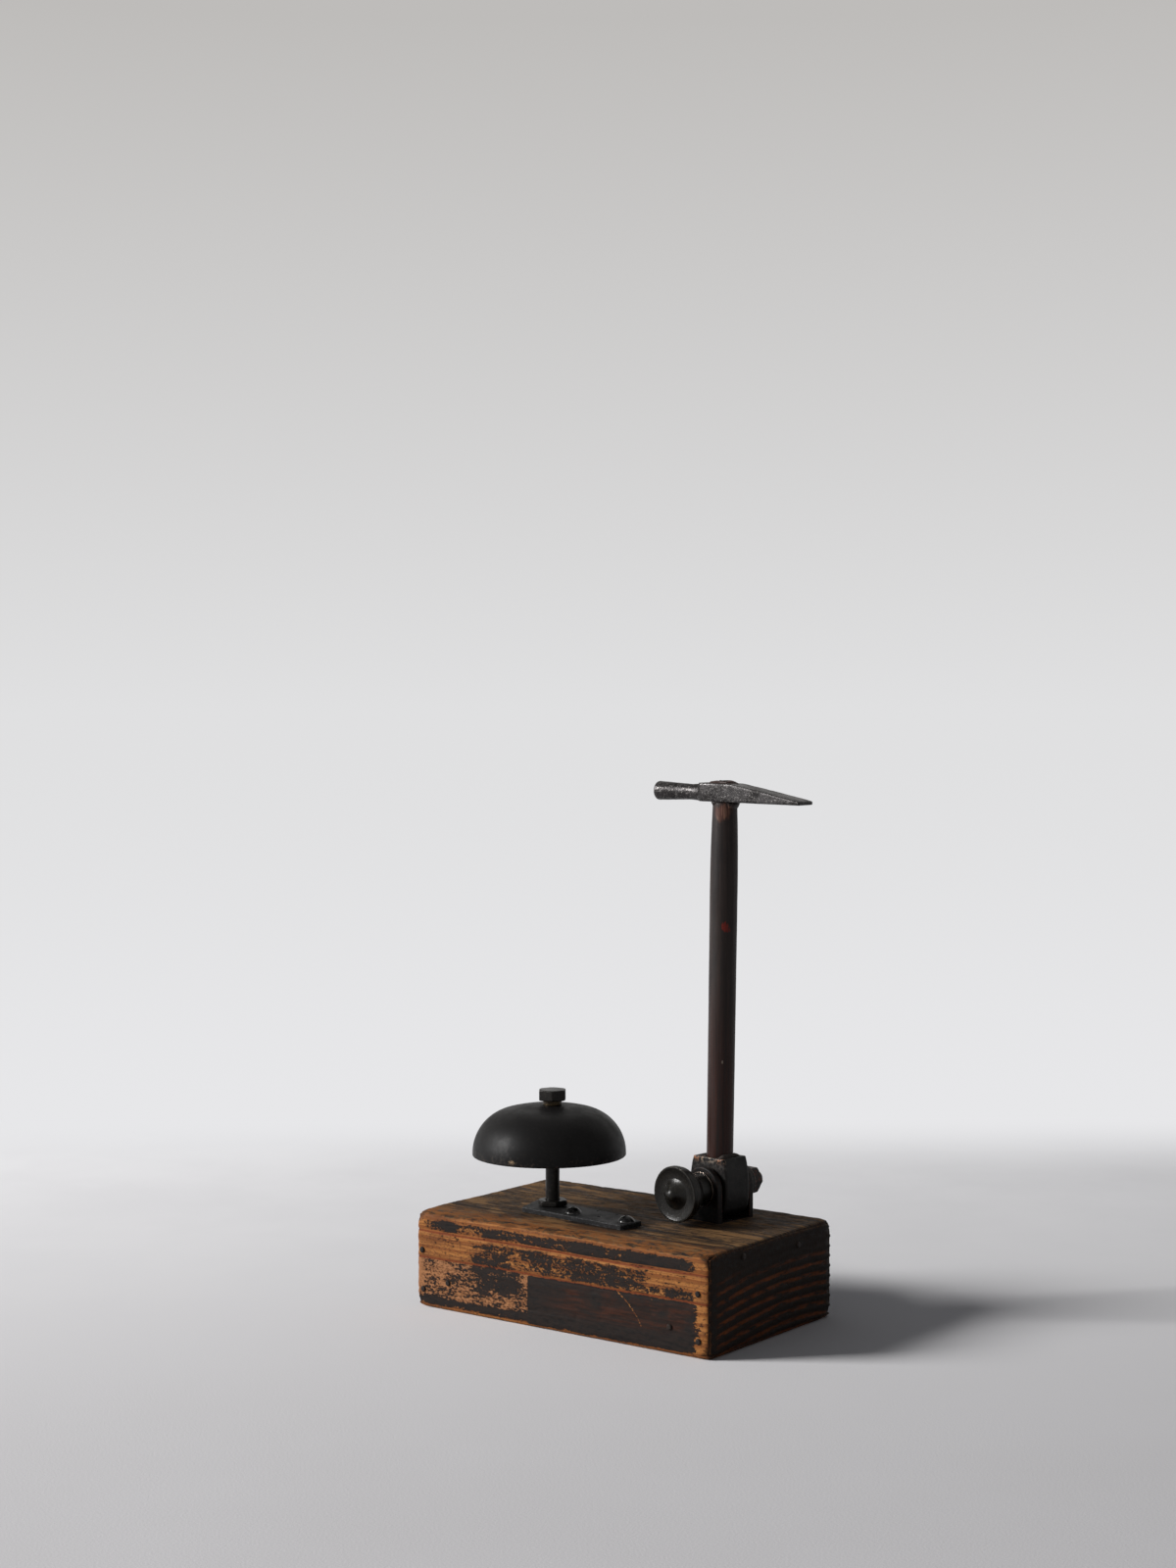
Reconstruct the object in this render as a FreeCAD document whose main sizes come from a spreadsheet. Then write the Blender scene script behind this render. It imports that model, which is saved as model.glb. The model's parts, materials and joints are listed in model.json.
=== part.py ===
# Struck bell on a timber block: a dished gong on a bolt, and beside it a small
# cross-pein hammer that stands loose in a square socket, which tilts on a
# clamped axle between two round-topped ears. Millimetres, +Z up, origin at the
# centre of the block's underside, +X along the block, +Y to the back.
import FreeCAD, Part
import math
import os
import Sketcher

os.makedirs("parts", exist_ok=True)
doc = FreeCAD.newDocument("struck_bell")

# Driving dimensions
DIMENSIONS = {
    # block
    "block_length": 175.6, "block_width": 105.0, "block_height": 47.5,
    "corner_round": 2.0, "edge_round": 1.3, "foot_round": 0.8,
    # strap that carries the gong: reaches along it and sides across it, from the gong bolt
    "plate_thickness": 2.4, "plate_turn": 5.0, "plate_end_reach": 56.8, "plate_left_near": 8.3,
    "plate_left_far": 16.8, "plate_near_side": 12.85, "plate_far_side": 9.3, "plate_taper": 13.2,
    "plate_taper_side": 5.5, "plate_tip_side": 0.9, "plate_clip": 1.0, "plate_edge_bevel": 0.4,
    "plate_vent_x": 34.9, "plate_vent_y": 4.9, "plate_vent_radius": 1.2,
    "plate_pin_x": 26.1, "plate_pin_y": 4.3, "plate_pin_pitch": 12.4, "plate_pin_radius": 0.85,
    # strap screws
    "screw_inner_x": 19.2, "screw_inner_y": 5.9, "screw_outer_x": 51.8, "screw_outer_y": 4.1,
    "screw_head_radius": 4.1, "screw_head_height": 2.6, "screw_shank_radius": 1.75,
    "screw_depth": 20.0, "screw_point": 4.0, "screw_slot_width": 1.0, "screw_slot_depth": 1.1,
    # gong bolt and what it holds
    "bolt_x": 32.4, "bolt_y": 13.6, "bolt_radius": 3.5, "bolt_depth": 4.0, "bolt_turn": 7.0,
    "bolt_head_flats": 13.0, "bolt_head_height": 5.4, "collar_radius": 4.5, "collar_height": 2.0,
    "foot_nut_height": 3.0, "foot_nut_turn": 22.0, "crown_nut_height": 5.0, "crown_nut_turn": 40.0,
    "crown_washer_radius": 7.6, "crown_washer_height": 1.2, "hex_bevel": 0.8, "hex_bevel_inset": 0.02,
    # gong
    "gong_radius": 37.65, "gong_depth": 25.0, "gong_wall": 2.0, "gong_crown_arc": 88.8,
    "gong_shoulder_arc": 22.0, "gong_lift": 24.7, "gong_rim_round": 0.6, "gong_shift": 2.0,
    # bracket: ears, axle and fasteners
    "bracket_x": 42.2, "bracket_y": 22.0, "bracket_turn": 8.0, "axle_height": 15.3,
    "axle_radius": 3.0, "axle_end_bevel": 0.5, "ear_radius": 10.55, "ear_thickness": 3.0,
    "ear_edge_round": 0.7, "base_thickness": 3.0, "base_screw_x": 5.4, "base_screw_radius": 1.5,
    "base_screw_head_radius": 3.0, "base_screw_head_height": 1.7, "base_screw_depth": 16.0,
    # socket
    "socket_length": 17.0, "socket_top_half": 9.8, "socket_top": 14.7, "socket_waist_half": 11.0,
    "socket_side_arc": 48.0, "socket_bottom_arc": 14.9, "socket_corner_round": 1.0,
    "socket_lip_round": 0.45, "pocket_width": 15.6, "pocket_breadth": 14.2, "pocket_floor": 4.5,
    "pocket_round": 2.0, "socket_washer_radius": 7.2, "socket_washer_height": 0.95,
    # thumb knob and its spacer
    "knob_washer_radius": 8.3, "knob_washer_height": 1.2, "spacer_radius": 7.4,
    "spacer_length": 7.7, "knob_depth": 10.0, "knob_back_radius": 9.6, "knob_rim_radius": 13.4,
    "knob_rim_width": 2.6, "knob_rim_lip": 1.0, "knob_groove": 1.4, "knob_groove_width": 0.9,
    "knob_ring_radius": 12.7, "knob_ring_width": 1.4, "knob_dish": 0.9, "knob_dish_arc": 16.0,
    "boss_radius": 7.4, "boss_height": 4.9, "boss_tip_radius": 3.2, "boss_tip_height": 1.6,
    "boss_flare_arc": 10.5, "knob_bore_depth": 5.6,
    # back of the axle
    "back_washer_radius": 9.6, "back_washer_height": 2.5, "back_washer_bevel": 1.1,
    "lock_washer_radius": 8.2, "lock_washer_height": 1.8, "acorn_flats": 12.4,
    "acorn_hex_height": 6.8, "acorn_dome_radius": 4.4, "acorn_neck": 1.0, "acorn_wall": 2.6,
    # hammer
    "hammer_lean": 1.0, "handle_foot_radius": 6.5, "handle_belly_radius": 6.78,
    "handle_belly_height": 138.0, "handle_neck_radius": 5.95, "handle_length": 180.5,
    "handle_foot_round": 0.8, "tenon_length": 11.6, "tenon_width": 6.8, "tenon_proud": 0.9,
    "head_height": 9.1, "head_width": 12.8, "head_body_back": 13.3, "head_body_front": 6.9,
    "pein_reach": 45.8, "pein_tip": 2.1, "pein_crown": 1200.0, "head_corner_cut": 2.6,
    "head_edge_round": 0.6, "poll_reach": 39.8, "poll_face_radius": 4.8, "poll_waist_radius": 3.9,
    "poll_drop": 0.3, "poll_waist_x": 19.0, "poll_neck_x": 11.0, "poll_edge": 0.9, "wedge_width": 5.6,
    "wedge_depth": 7.5, "wedge_thickness": 1.5, "wedge_tip": 0.5, "wedge_proud": 0.5,
    # nails in the block's faces
    "nail_head_radius": 1.5, "nail_head_height": 0.6, "nail_crown_radius": 1.0,
    "nail_shank_radius": 0.7, "nail_depth": 12.0,
    # clearances
    "seat_gap": 0.05, "running_gap": 0.08, "side_gap": 0.3, "mortise_gap": 0.1, "cut_margin": 1.0,
}
# Nails: the face, the end that the inset is measured from, the inset and the height
NAILS = {
    "front_left_high": ("front", "left", 4.6, 28.1),
    "front_left_mid": ("front", "left", 21.1, 13.8),
    "front_left_low": ("front", "left", 5.3, 8.9),
    "front_right_high": ("front", "right", 6.7, 29.6),
    "front_right_mid": ("front", "right", 22.4, 12.5),
    "front_right_low": ("front", "right", 6.4, 8.1),
    "end_near": ("end", "near", 27.2, 42.7),
    "end_far": ("end", "far", 31.4, 40.0),
}


class Size:
    """A size that keeps its formula over the sheet beside its number."""

    def __init__(self, text, value):
        self.text = text
        self.value = value

    def __add__(self, other):
        other = as_size(other)
        return Size("(%s + %s)" % (self.text, other.text), self.value + other.value)

    def __sub__(self, other):
        other = as_size(other)
        return Size("(%s - %s)" % (self.text, other.text), self.value - other.value)

    def __mul__(self, other):
        other = as_size(other)
        return Size("(%s * %s)" % (self.text, other.text), self.value * other.value)

    def __truediv__(self, other):
        other = as_size(other)
        return Size("(%s / %s)" % (self.text, other.text), self.value / other.value)

    def __neg__(self):
        return Size("(0 - %s)" % self.text, -self.value)


def as_size(number):
    """A plain number as a Size; a Size stays as it is."""
    if isinstance(number, Size):
        return number
    return Size(repr(float(number)), float(number))


def root(square):
    return Size("sqrt(%s)" % square.text, math.sqrt(square.value))


def cosine(angle):
    return Size("cos(%s)" % angle.text, math.cos(math.radians(angle.value)))


def sine(angle):
    return Size("sin(%s)" % angle.text, math.sin(math.radians(angle.value)))


class Sizes:
    """The sheet's sizes by name."""


sheet = doc.addObject("Spreadsheet::Sheet", "sizes")
dim = Sizes()


def add_size(name, value):
    """Writes one size to the sheet and names it."""
    row = len(vars(dim)) + 1
    sheet.set("A%d" % row, name)
    sheet.set("B%d" % row, repr(value))
    sheet.setAlias("B%d" % row, name)
    setattr(dim, name, Size("sizes.%s" % name, value))


for size_name, size_value in DIMENSIONS.items():
    add_size(size_name, size_value)
for nail_name, (nail_face, nail_end, nail_inset, nail_height) in NAILS.items():
    add_size("nail_%s_inset" % nail_name, nail_inset)
    add_size("nail_%s_height" % nail_name, nail_height)
doc.recompute()

ZERO = as_size(0)
UP = FreeCAD.Vector(0, 0, 1)
DOWN = FreeCAD.Vector(0, 0, -1)
ACROSS = FreeCAD.Vector(0, 1, 0)
TO_BACK = FreeCAD.Rotation(FreeCAD.Vector(1, 0, 0), -90)
TO_RIGHT = FreeCAD.Rotation(FreeCAD.Vector(0, 1, 0), 90)


# Levels and derived places
half_length = dim.block_length / 2
half_width = dim.block_width / 2
plate_top = dim.block_height + dim.plate_thickness
gong_rim_z = plate_top + dim.gong_lift
gong_top_z = gong_rim_z + dim.gong_depth
gong_inner_z = gong_top_z - dim.gong_wall
axle_z = dim.block_height + dim.axle_height
socket_half = dim.socket_length / 2
ear_inner = socket_half + dim.socket_washer_height + dim.side_gap
ear_outer = ear_inner + dim.ear_thickness
axle_bore = dim.axle_radius + dim.running_gap
spacer_start = ear_outer + dim.knob_washer_height + dim.side_gap
knob_start = spacer_start + dim.spacer_length
knob_face = knob_start + dim.knob_depth
bolt_bore = dim.bolt_radius + dim.seat_gap
lock_start = ear_outer + dim.back_washer_height
acorn_start = lock_start + dim.lock_washer_height
acorn_dome_start = acorn_start + dim.acorn_hex_height
acorn_end = acorn_dome_start + dim.acorn_neck + dim.acorn_dome_radius
acorn_bore_end = acorn_end - dim.acorn_wall
HEX_CORNER = math.cos(math.radians(30))
# Two lengths closer than this count as equal where edges are picked
NEAR = 0.01


def bind(target, prop, value):
    target.setExpression(prop, as_size(value).text)


def move(target, x=ZERO, y=ZERO, z=ZERO, axis=None, turn=None, rotation=None):
    """Binds a placement: a base point and, where asked, a turn about one axis."""
    if rotation is None:
        rotation = FreeCAD.Rotation()
    if turn is not None:
        rotation = FreeCAD.Rotation(axis, turn.value)
    base = FreeCAD.Vector(x.value, y.value, z.value)
    target.Placement = FreeCAD.Placement(base, rotation)
    for name, value in (("x", x), ("y", y), ("z", z)):
        if value is not ZERO:
            bind(target, "Placement.Base.%s" % name, value)
    if turn is not None:
        bind(target, "Placement.Rotation.Angle", turn)


def new_body(name):
    return doc.addObject("PartDesign::Body", name)


def on_post(body, z=ZERO, turn=None):
    """Stands a body on the gong bolt's line."""
    move(body, -dim.bolt_x, -dim.bolt_y, z, UP, turn)


def on_gong(body):
    """Puts a body's origin in the middle of the gong's rim, which lies beside the bolt's line."""
    move(body, -dim.bolt_x - dim.gong_shift, -dim.bolt_y, gong_rim_z)


def on_axle(body):
    """Puts a body's origin at the axle's middle, with local Y along the axle to the back."""
    move(body, dim.bracket_x, dim.bracket_y, axle_z, DOWN, dim.bracket_turn)


def on_hammer(body, rise=ZERO):
    """Puts a body's origin on the leaning hammer's line, rise above the handle's foot."""
    foot_z = axle_z + dim.pocket_floor + dim.side_gap
    x = dim.bracket_x + rise * sine(dim.hammer_lean)
    move(body, x, dim.bracket_y, foot_z + rise * cosine(dim.hammer_lean), ACROSS, dim.hammer_lean)


def origin_plane(body, role):
    return [plane for plane in body.Origin.OriginFeatures if plane.Role == role][0]


def outline(body, role, corners, lift=None):
    """A closed sketch through corners given as (x, y) or (x, y, radius, side).

    The segment from such a corner to the next is an arc of that radius. Side is
    +1 where the arc's centre lies to the left of the way to the next corner.
    """
    sketch = body.newObject("Sketcher::SketchObject", "%s_outline" % body.Name)
    sketch.AttachmentSupport = [(origin_plane(body, role), "")]
    sketch.MapMode = "FlatFace"
    if lift is not None:
        bind(sketch, "AttachmentOffset.Base.z", lift)
    count = len(corners)
    ends = []
    for index, corner in enumerate(corners):
        following = corners[(index + 1) % count]
        start = FreeCAD.Vector(as_size(corner[0]).value, as_size(corner[1]).value, 0)
        finish = FreeCAD.Vector(as_size(following[0]).value, as_size(following[1]).value, 0)
        if len(corner) == 2:
            number = sketch.addGeometry(Part.LineSegment(start, finish), False)
            ends.append((number, 1, 2))
            continue
        radius, side = corner[2].value, corner[3]
        chord = finish - start
        height = math.sqrt(radius ** 2 - (chord.Length / 2) ** 2)
        left = FreeCAD.Vector(-chord.y, chord.x, 0).normalize()
        centre = (start + finish) * 0.5 + left * (side * height)
        first, last = (start, finish) if side > 0 else (finish, start)
        circle = Part.Circle(centre, UP, radius)
        angles = [math.atan2(point.y - centre.y, point.x - centre.x) for point in (first, last)]
        number = sketch.addGeometry(Part.ArcOfCircle(circle, angles[0], angles[1]), False)
        ends.append((number, 1, 2) if side > 0 else (number, 2, 1))
        rule = sketch.addConstraint(Sketcher.Constraint("Radius", number, radius))
        bind(sketch, "Constraints[%d]" % rule, corner[2])
    for index, corner in enumerate(corners):
        number, start_point, _ = ends[index]
        before, _, end_point = ends[index - 1]
        sketch.addConstraint(Sketcher.Constraint("Coincident", before, end_point, number, start_point))
        for kind, value in (("DistanceX", as_size(corner[0])), ("DistanceY", as_size(corner[1]))):
            rule = sketch.addConstraint(
                Sketcher.Constraint(kind, -1, 1, number, start_point, value.value))
            bind(sketch, "Constraints[%d]" % rule, value)
    return sketch


def pad(body, sketch, length, symmetric=False):
    feature = body.newObject("PartDesign::Pad", "%s_pad" % body.Name)
    feature.Profile = sketch
    bind(feature, "Length", length)
    if symmetric:
        feature.SideType = "Symmetric"
    return feature


def revolve(body, sketch, kind="PartDesign::Revolution", axis="V_Axis"):
    """Turns a sketch about its own vertical axis, or about one of its edges."""
    feature = body.newObject(kind, "%s_turned" % body.Name)
    feature.Profile = sketch
    feature.ReferenceAxis = (sketch, [axis])
    feature.Angle = 360
    return feature


def block_feature(body, sign, length, width, height, x=ZERO, y=ZERO, z=ZERO, axis=None, turn=None):
    """A box added (+1) or cut (-1), from its lowest corner."""
    kind = "PartDesign::AdditiveBox" if sign > 0 else "PartDesign::SubtractiveBox"
    feature = body.newObject(kind, "%s_box" % body.Name)
    bind(feature, "Length", length)
    bind(feature, "Width", width)
    bind(feature, "Height", height)
    move(feature, x, y, z, axis, turn)
    return feature


def rod_feature(body, sign, radius, height, x=ZERO, y=ZERO, z=ZERO, rotation=None):
    """A cylinder added (+1) or cut (-1), from the middle of its lower end."""
    kind = "PartDesign::AdditiveCylinder" if sign > 0 else "PartDesign::SubtractiveCylinder"
    feature = body.newObject(kind, "%s_rod" % body.Name)
    bind(feature, "Radius", radius)
    bind(feature, "Height", height)
    move(feature, x, y, z, rotation=rotation)
    return feature


def hex_feature(body, flats, height, z=ZERO, y=ZERO, rotation=None):
    """A hexagonal prism of a width across its flats."""
    feature = body.newObject("PartDesign::AdditivePrism", "%s_hex" % body.Name)
    feature.Polygon = 6
    bind(feature, "Circumradius", flats / (2 * HEX_CORNER))
    bind(feature, "Height", height)
    move(feature, ZERO, y, z, rotation=rotation)
    return feature


def bevel_hex(body, role, flats, level, way):
    """Cuts the corners of a hexagon at one end; way is +1 for its upper end."""
    outside = flats / (2 * HEX_CORNER) + dim.cut_margin
    low = level - dim.hex_bevel * way
    ring = [(flats / 2 - dim.hex_bevel_inset, level), (outside, low), (outside, level)]
    if way < 0:
        ring.reverse()
    return revolve(body, outline(body, role, ring), "PartDesign::Groove")


def edges_where(feature, test):
    doc.recompute()
    edges = feature.Shape.Edges
    return ["Edge%d" % (number + 1) for number, edge in enumerate(edges) if test(edge)]


def dress(body, kind, test, amount):
    """Rounds or chamfers the edges of the body's tip that pass the test."""
    base = body.Tip
    names = edges_where(base, test)
    feature = body.newObject("PartDesign::%s" % kind, "%s_%s" % (body.Name, kind.lower()))
    feature.Base = (base, names)
    bind(feature, "Radius" if kind == "Fillet" else "Size", amount)
    return feature


def spans(edge, index):
    """Length of an edge's box along X (0), Y (1) or Z (2)."""
    box = edge.BoundBox
    return (box.XLength, box.YLength, box.ZLength)[index]


def at_level(edge, level):
    box = edge.BoundBox
    return abs(box.ZMin - level.value) < NEAR and abs(box.ZMax - level.value) < NEAR


def turned(name, place, corners, role="XZ_Plane"):
    """A piece turned about the sketch's vertical axis, from (radius, along) corners."""
    body = new_body(name)
    place(body)
    revolve(body, outline(body, role, corners))
    return body


def ring(inner, outer, low, high):
    return [(inner, low), (outer, low), (outer, high), (inner, high)]


def plate_point(along, across):
    """Block coordinates of a point of the strap, measured from the gong bolt."""
    cos_turn, sin_turn = cosine(dim.plate_turn), sine(dim.plate_turn)
    x = along * cos_turn + across * sin_turn - dim.bolt_x
    y = across * cos_turn - along * sin_turn - dim.bolt_y
    return x, y


def bracket_point(along, across):
    """Block coordinates of a point of the bracket, along its swing and towards the back."""
    cos_turn, sin_turn = cosine(dim.bracket_turn), sine(dim.bracket_turn)
    x = along * cos_turn + across * sin_turn + dim.bracket_x
    y = across * cos_turn - along * sin_turn + dim.bracket_y
    return x, y


SCREWS = {"plate_screw_inner": (dim.screw_inner_x, -dim.screw_inner_y),
          "plate_screw_outer": (dim.screw_outer_x, -dim.screw_outer_y)}
BASE_SCREWS = {"yoke_screw_left": -dim.base_screw_x, "yoke_screw_right": dim.base_screw_x}


def nail_place(name):
    """Point on the block's face and the rotation that points a nail out of it."""
    face, end, _, _ = NAILS[name]
    inset = getattr(dim, "nail_%s_inset" % name)
    height = getattr(dim, "nail_%s_height" % name)
    if face == "front":
        x = inset - half_length if end == "left" else half_length - inset
        return x, -half_width, height, FreeCAD.Rotation(FreeCAD.Vector(1, 0, 0), 90)
    y = inset - half_width if end == "near" else half_width - inset
    return half_length, y, height, TO_RIGHT


# Timber block, with a mortise for the bracket and pilot holes for its fasteners
def make_block():
    body = new_body("base_block")
    rectangle = [(-half_length, -half_width), (half_length, -half_width),
                 (half_length, half_width), (-half_length, half_width)]
    pad(body, outline(body, "XY_Plane", rectangle), dim.block_height)
    dress(body, "Fillet", lambda edge: spans(edge, 2) > dim.block_height.value / 2, dim.corner_round)
    dress(body, "Fillet", lambda edge: at_level(edge, dim.block_height), dim.edge_round)
    dress(body, "Fillet", lambda edge: at_level(edge, ZERO), dim.foot_round)
    mortise_half = dim.ear_radius + dim.mortise_gap
    mortise_end = ear_outer + dim.mortise_gap
    corner_x, corner_y = bracket_point(-mortise_half, -mortise_end)
    block_feature(body, -1, mortise_half * 2, mortise_end * 2, dim.base_thickness, corner_x, corner_y,
                  dim.block_height - dim.base_thickness, DOWN, dim.bracket_turn)
    rod_feature(body, -1, bolt_bore, dim.bolt_depth, -dim.bolt_x, -dim.bolt_y,
                dim.block_height - dim.bolt_depth)
    for along, across in SCREWS.values():
        x, y = plate_point(along, across)
        rod_feature(body, -1, dim.screw_shank_radius + dim.seat_gap, dim.screw_depth, x, y,
                    dim.block_height - dim.screw_depth)
    for reach in BASE_SCREWS.values():
        x, y = bracket_point(reach, ZERO)
        rod_feature(body, -1, dim.base_screw_radius + dim.seat_gap, dim.base_screw_depth, x, y,
                    dim.block_height - dim.base_screw_depth)
    for name in NAILS:
        x, y, z, rotation = nail_place(name)
        start = rotation.multVec(FreeCAD.Vector(0, 0, -1))
        x = x + dim.nail_depth * round(start.x)
        y = y + dim.nail_depth * round(start.y)
        rod_feature(body, -1, dim.nail_shank_radius + dim.seat_gap, dim.nail_depth, x, y, z, rotation)


# Nails left in the block's front face and right end, one group of separate solids
def make_nails():
    pieces = []
    for name in NAILS:
        x, y, z, rotation = nail_place(name)
        out = rotation.multVec(UP)
        shank = doc.addObject("Part::Cylinder", "nail_shank")
        bind(shank, "Radius", dim.nail_shank_radius)
        bind(shank, "Height", dim.nail_depth)
        move(shank, x - dim.nail_depth * round(out.x), y - dim.nail_depth * round(out.y), z,
             rotation=rotation)
        head = doc.addObject("Part::Cone", "nail_head")
        bind(head, "Radius1", dim.nail_head_radius)
        bind(head, "Radius2", dim.nail_crown_radius)
        bind(head, "Height", dim.nail_head_height)
        move(head, x, y, z, rotation=rotation)
        nail = doc.addObject("Part::Fuse", "nail_%s" % name)
        nail.Base = shank
        nail.Tool = head
        pieces.append(nail)
    group = doc.addObject("Part::Compound", "edge_nails")
    group.Links = pieces


# Steel strap, wider at its skewed left end, with a tapered tip and three small spare holes
def make_plate():
    body = new_body("bell_plate")
    move(body, -dim.bolt_x, -dim.bolt_y, dim.block_height, DOWN, dim.plate_turn)
    near, end = -dim.plate_near_side, dim.plate_end_reach
    corners = [
        (-dim.plate_left_near, near), (end - dim.plate_clip, near), (end, near + dim.plate_clip),
        (end, dim.plate_tip_side), (end - dim.plate_taper, dim.plate_taper_side),
        (-dim.plate_left_far, dim.plate_far_side),
    ]
    pad(body, outline(body, "XY_Plane", corners), dim.plate_thickness)
    dress(body, "Chamfer", lambda edge: at_level(edge, dim.plate_thickness), dim.plate_edge_bevel)
    rod_feature(body, -1, bolt_bore, dim.plate_thickness)
    for along, across in SCREWS.values():
        rod_feature(body, -1, dim.screw_shank_radius + dim.seat_gap, dim.plate_thickness,
                    along, across)
    rod_feature(body, -1, dim.plate_vent_radius, dim.plate_thickness, dim.plate_vent_x, -dim.plate_vent_y)
    for step in range(2):
        rod_feature(body, -1, dim.plate_pin_radius, dim.plate_thickness,
                    dim.plate_pin_x + dim.plate_pin_pitch * step, dim.plate_pin_y)


# Round-head slotted wood screws of the strap
def make_plate_screw(name, along, across):
    body = new_body(name)
    x, y = plate_point(along, across)
    move(body, x, y, plate_top)
    tip = -(dim.plate_thickness + dim.screw_depth)
    dome = (dim.screw_head_radius * dim.screw_head_radius + dim.screw_head_height * dim.screw_head_height)
    dome = dome / (dim.screw_head_height * 2)
    corners = [
        (ZERO, tip), (dim.screw_shank_radius, tip + dim.screw_point), (dim.screw_shank_radius, ZERO),
        (dim.screw_head_radius, ZERO, dome, 1), (ZERO, dim.screw_head_height),
    ]
    revolve(body, outline(body, "XZ_Plane", corners))
    block_feature(body, -1, dim.screw_slot_width, dim.screw_head_radius * 2, dim.screw_slot_depth,
                  -dim.screw_slot_width / 2, -dim.screw_head_radius,
                  dim.screw_head_height - dim.screw_slot_depth)


# Dished gong: a crown arc that runs into a shoulder arc, one wall thick, its hole off the middle
def make_gong():
    radius, depth, wall = dim.gong_radius, dim.gong_depth, dim.gong_wall
    crown_z = depth - dim.gong_crown_arc
    shoulder_x = radius - dim.gong_shoulder_arc
    reach = dim.gong_crown_arc - dim.gong_shoulder_arc
    rise = root(reach * reach - shoulder_x * shoulder_x)
    shoulder_z = crown_z + rise

    def joint(arc):
        return arc * shoulder_x / reach, crown_z + arc * rise / reach

    inner_arc = dim.gong_crown_arc - wall
    outer_x, outer_z = joint(dim.gong_crown_arc)
    inner_x, inner_z = joint(inner_arc)
    corners = [
        (radius - wall, ZERO), (radius, ZERO), (radius, shoulder_z, dim.gong_shoulder_arc, 1),
        (outer_x, outer_z, dim.gong_crown_arc, 1), (ZERO, depth), (ZERO, depth - wall, inner_arc, -1),
        (inner_x, inner_z, dim.gong_shoulder_arc - wall, -1), (radius - wall, shoulder_z),
    ]
    body = turned("bell_gong", on_gong, corners)
    dress(body, "Fillet", lambda edge: at_level(edge, ZERO), dim.gong_rim_round)
    rod_feature(body, -1, bolt_bore, depth, dim.gong_shift)


# Bolt that carries the gong: hexagon head on top, shank down through the strap into the block
def make_gong_bolt():
    head_z = gong_top_z + dim.collar_height
    body = new_body("gong_bolt")
    on_post(body, ZERO, dim.bolt_turn)
    hex_feature(body, dim.bolt_head_flats, dim.bolt_head_height, head_z)
    bevel_hex(body, "XZ_Plane", dim.bolt_head_flats, head_z + dim.bolt_head_height, 1)
    bevel_hex(body, "XZ_Plane", dim.bolt_head_flats, head_z, -1)
    low = dim.block_height - dim.bolt_depth
    rod_feature(body, 1, dim.bolt_radius, head_z - low, z=low)


# Hexagon nuts on the gong bolt
def make_post_nut(name, low, height, turn):
    body = new_body(name)
    on_post(body, low, turn)
    hex_feature(body, dim.bolt_head_flats, height)
    bevel_hex(body, "XZ_Plane", dim.bolt_head_flats, height, 1)
    bevel_hex(body, "XZ_Plane", dim.bolt_head_flats, ZERO, -1)
    rod_feature(body, -1, bolt_bore, height)


def make_post_rings():
    crown_seat = gong_inner_z - bolt_sag()
    washer_low = crown_seat - dim.crown_washer_height
    turned("gong_collar", on_post,
           ring(bolt_bore, dim.collar_radius, gong_top_z, gong_top_z + dim.collar_height))
    turned("crown_washer", on_post,
           ring(bolt_bore, dim.crown_washer_radius, washer_low, crown_seat))
    make_post_nut("crown_nut", washer_low - dim.crown_nut_height, dim.crown_nut_height,
                  dim.crown_nut_turn)
    make_post_nut("foot_nut", plate_top, dim.foot_nut_height, dim.foot_nut_turn)


def bolt_sag():
    """How far the crown's inside has dropped at the far edge of the washer below it."""
    arc = dim.gong_crown_arc - dim.gong_wall
    reach = dim.crown_washer_radius + dim.gong_shift
    return arc - root(arc * arc - reach * reach)


# Bracket: two round-topped ears on a base that is let into the block
def make_yoke():
    body = new_body("bracket_yoke")
    move(body, dim.bracket_x, dim.bracket_y, dim.block_height, DOWN, dim.bracket_turn)
    width = dim.ear_radius * 2
    block_feature(body, 1, width, ear_outer * 2, dim.base_thickness + dim.axle_height,
                  -dim.ear_radius, -ear_outer, -dim.base_thickness)
    rod_feature(body, 1, dim.ear_radius, ear_outer * 2, ZERO, -ear_outer, dim.axle_height, TO_BACK)
    block_feature(body, -1, width + dim.cut_margin * 2, ear_inner * 2,
                  dim.axle_height + dim.ear_radius + dim.cut_margin,
                  -(dim.ear_radius + dim.cut_margin), -ear_inner, ZERO)

    def outer_edge(edge):
        box = edge.BoundBox
        outside = abs(abs(box.YMin) - ear_outer.value) < NEAR and box.YLength < NEAR
        return outside and box.ZMax > NEAR

    dress(body, "Fillet", outer_edge, dim.ear_edge_round)
    rod_feature(body, -1, axle_bore, ear_outer * 2, ZERO, -ear_outer, dim.axle_height, TO_BACK)
    for reach in BASE_SCREWS.values():
        rod_feature(body, -1, dim.base_screw_radius + dim.seat_gap, dim.base_thickness, reach, ZERO,
                    -dim.base_thickness)
        sink = body.newObject("PartDesign::SubtractiveCone", "%s_sink" % body.Name)
        bind(sink, "Radius1", dim.base_screw_radius + dim.seat_gap)
        bind(sink, "Radius2", dim.base_screw_head_radius + dim.seat_gap)
        bind(sink, "Height", dim.base_screw_head_height)
        move(sink, reach, ZERO, -dim.base_screw_head_height)


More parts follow.
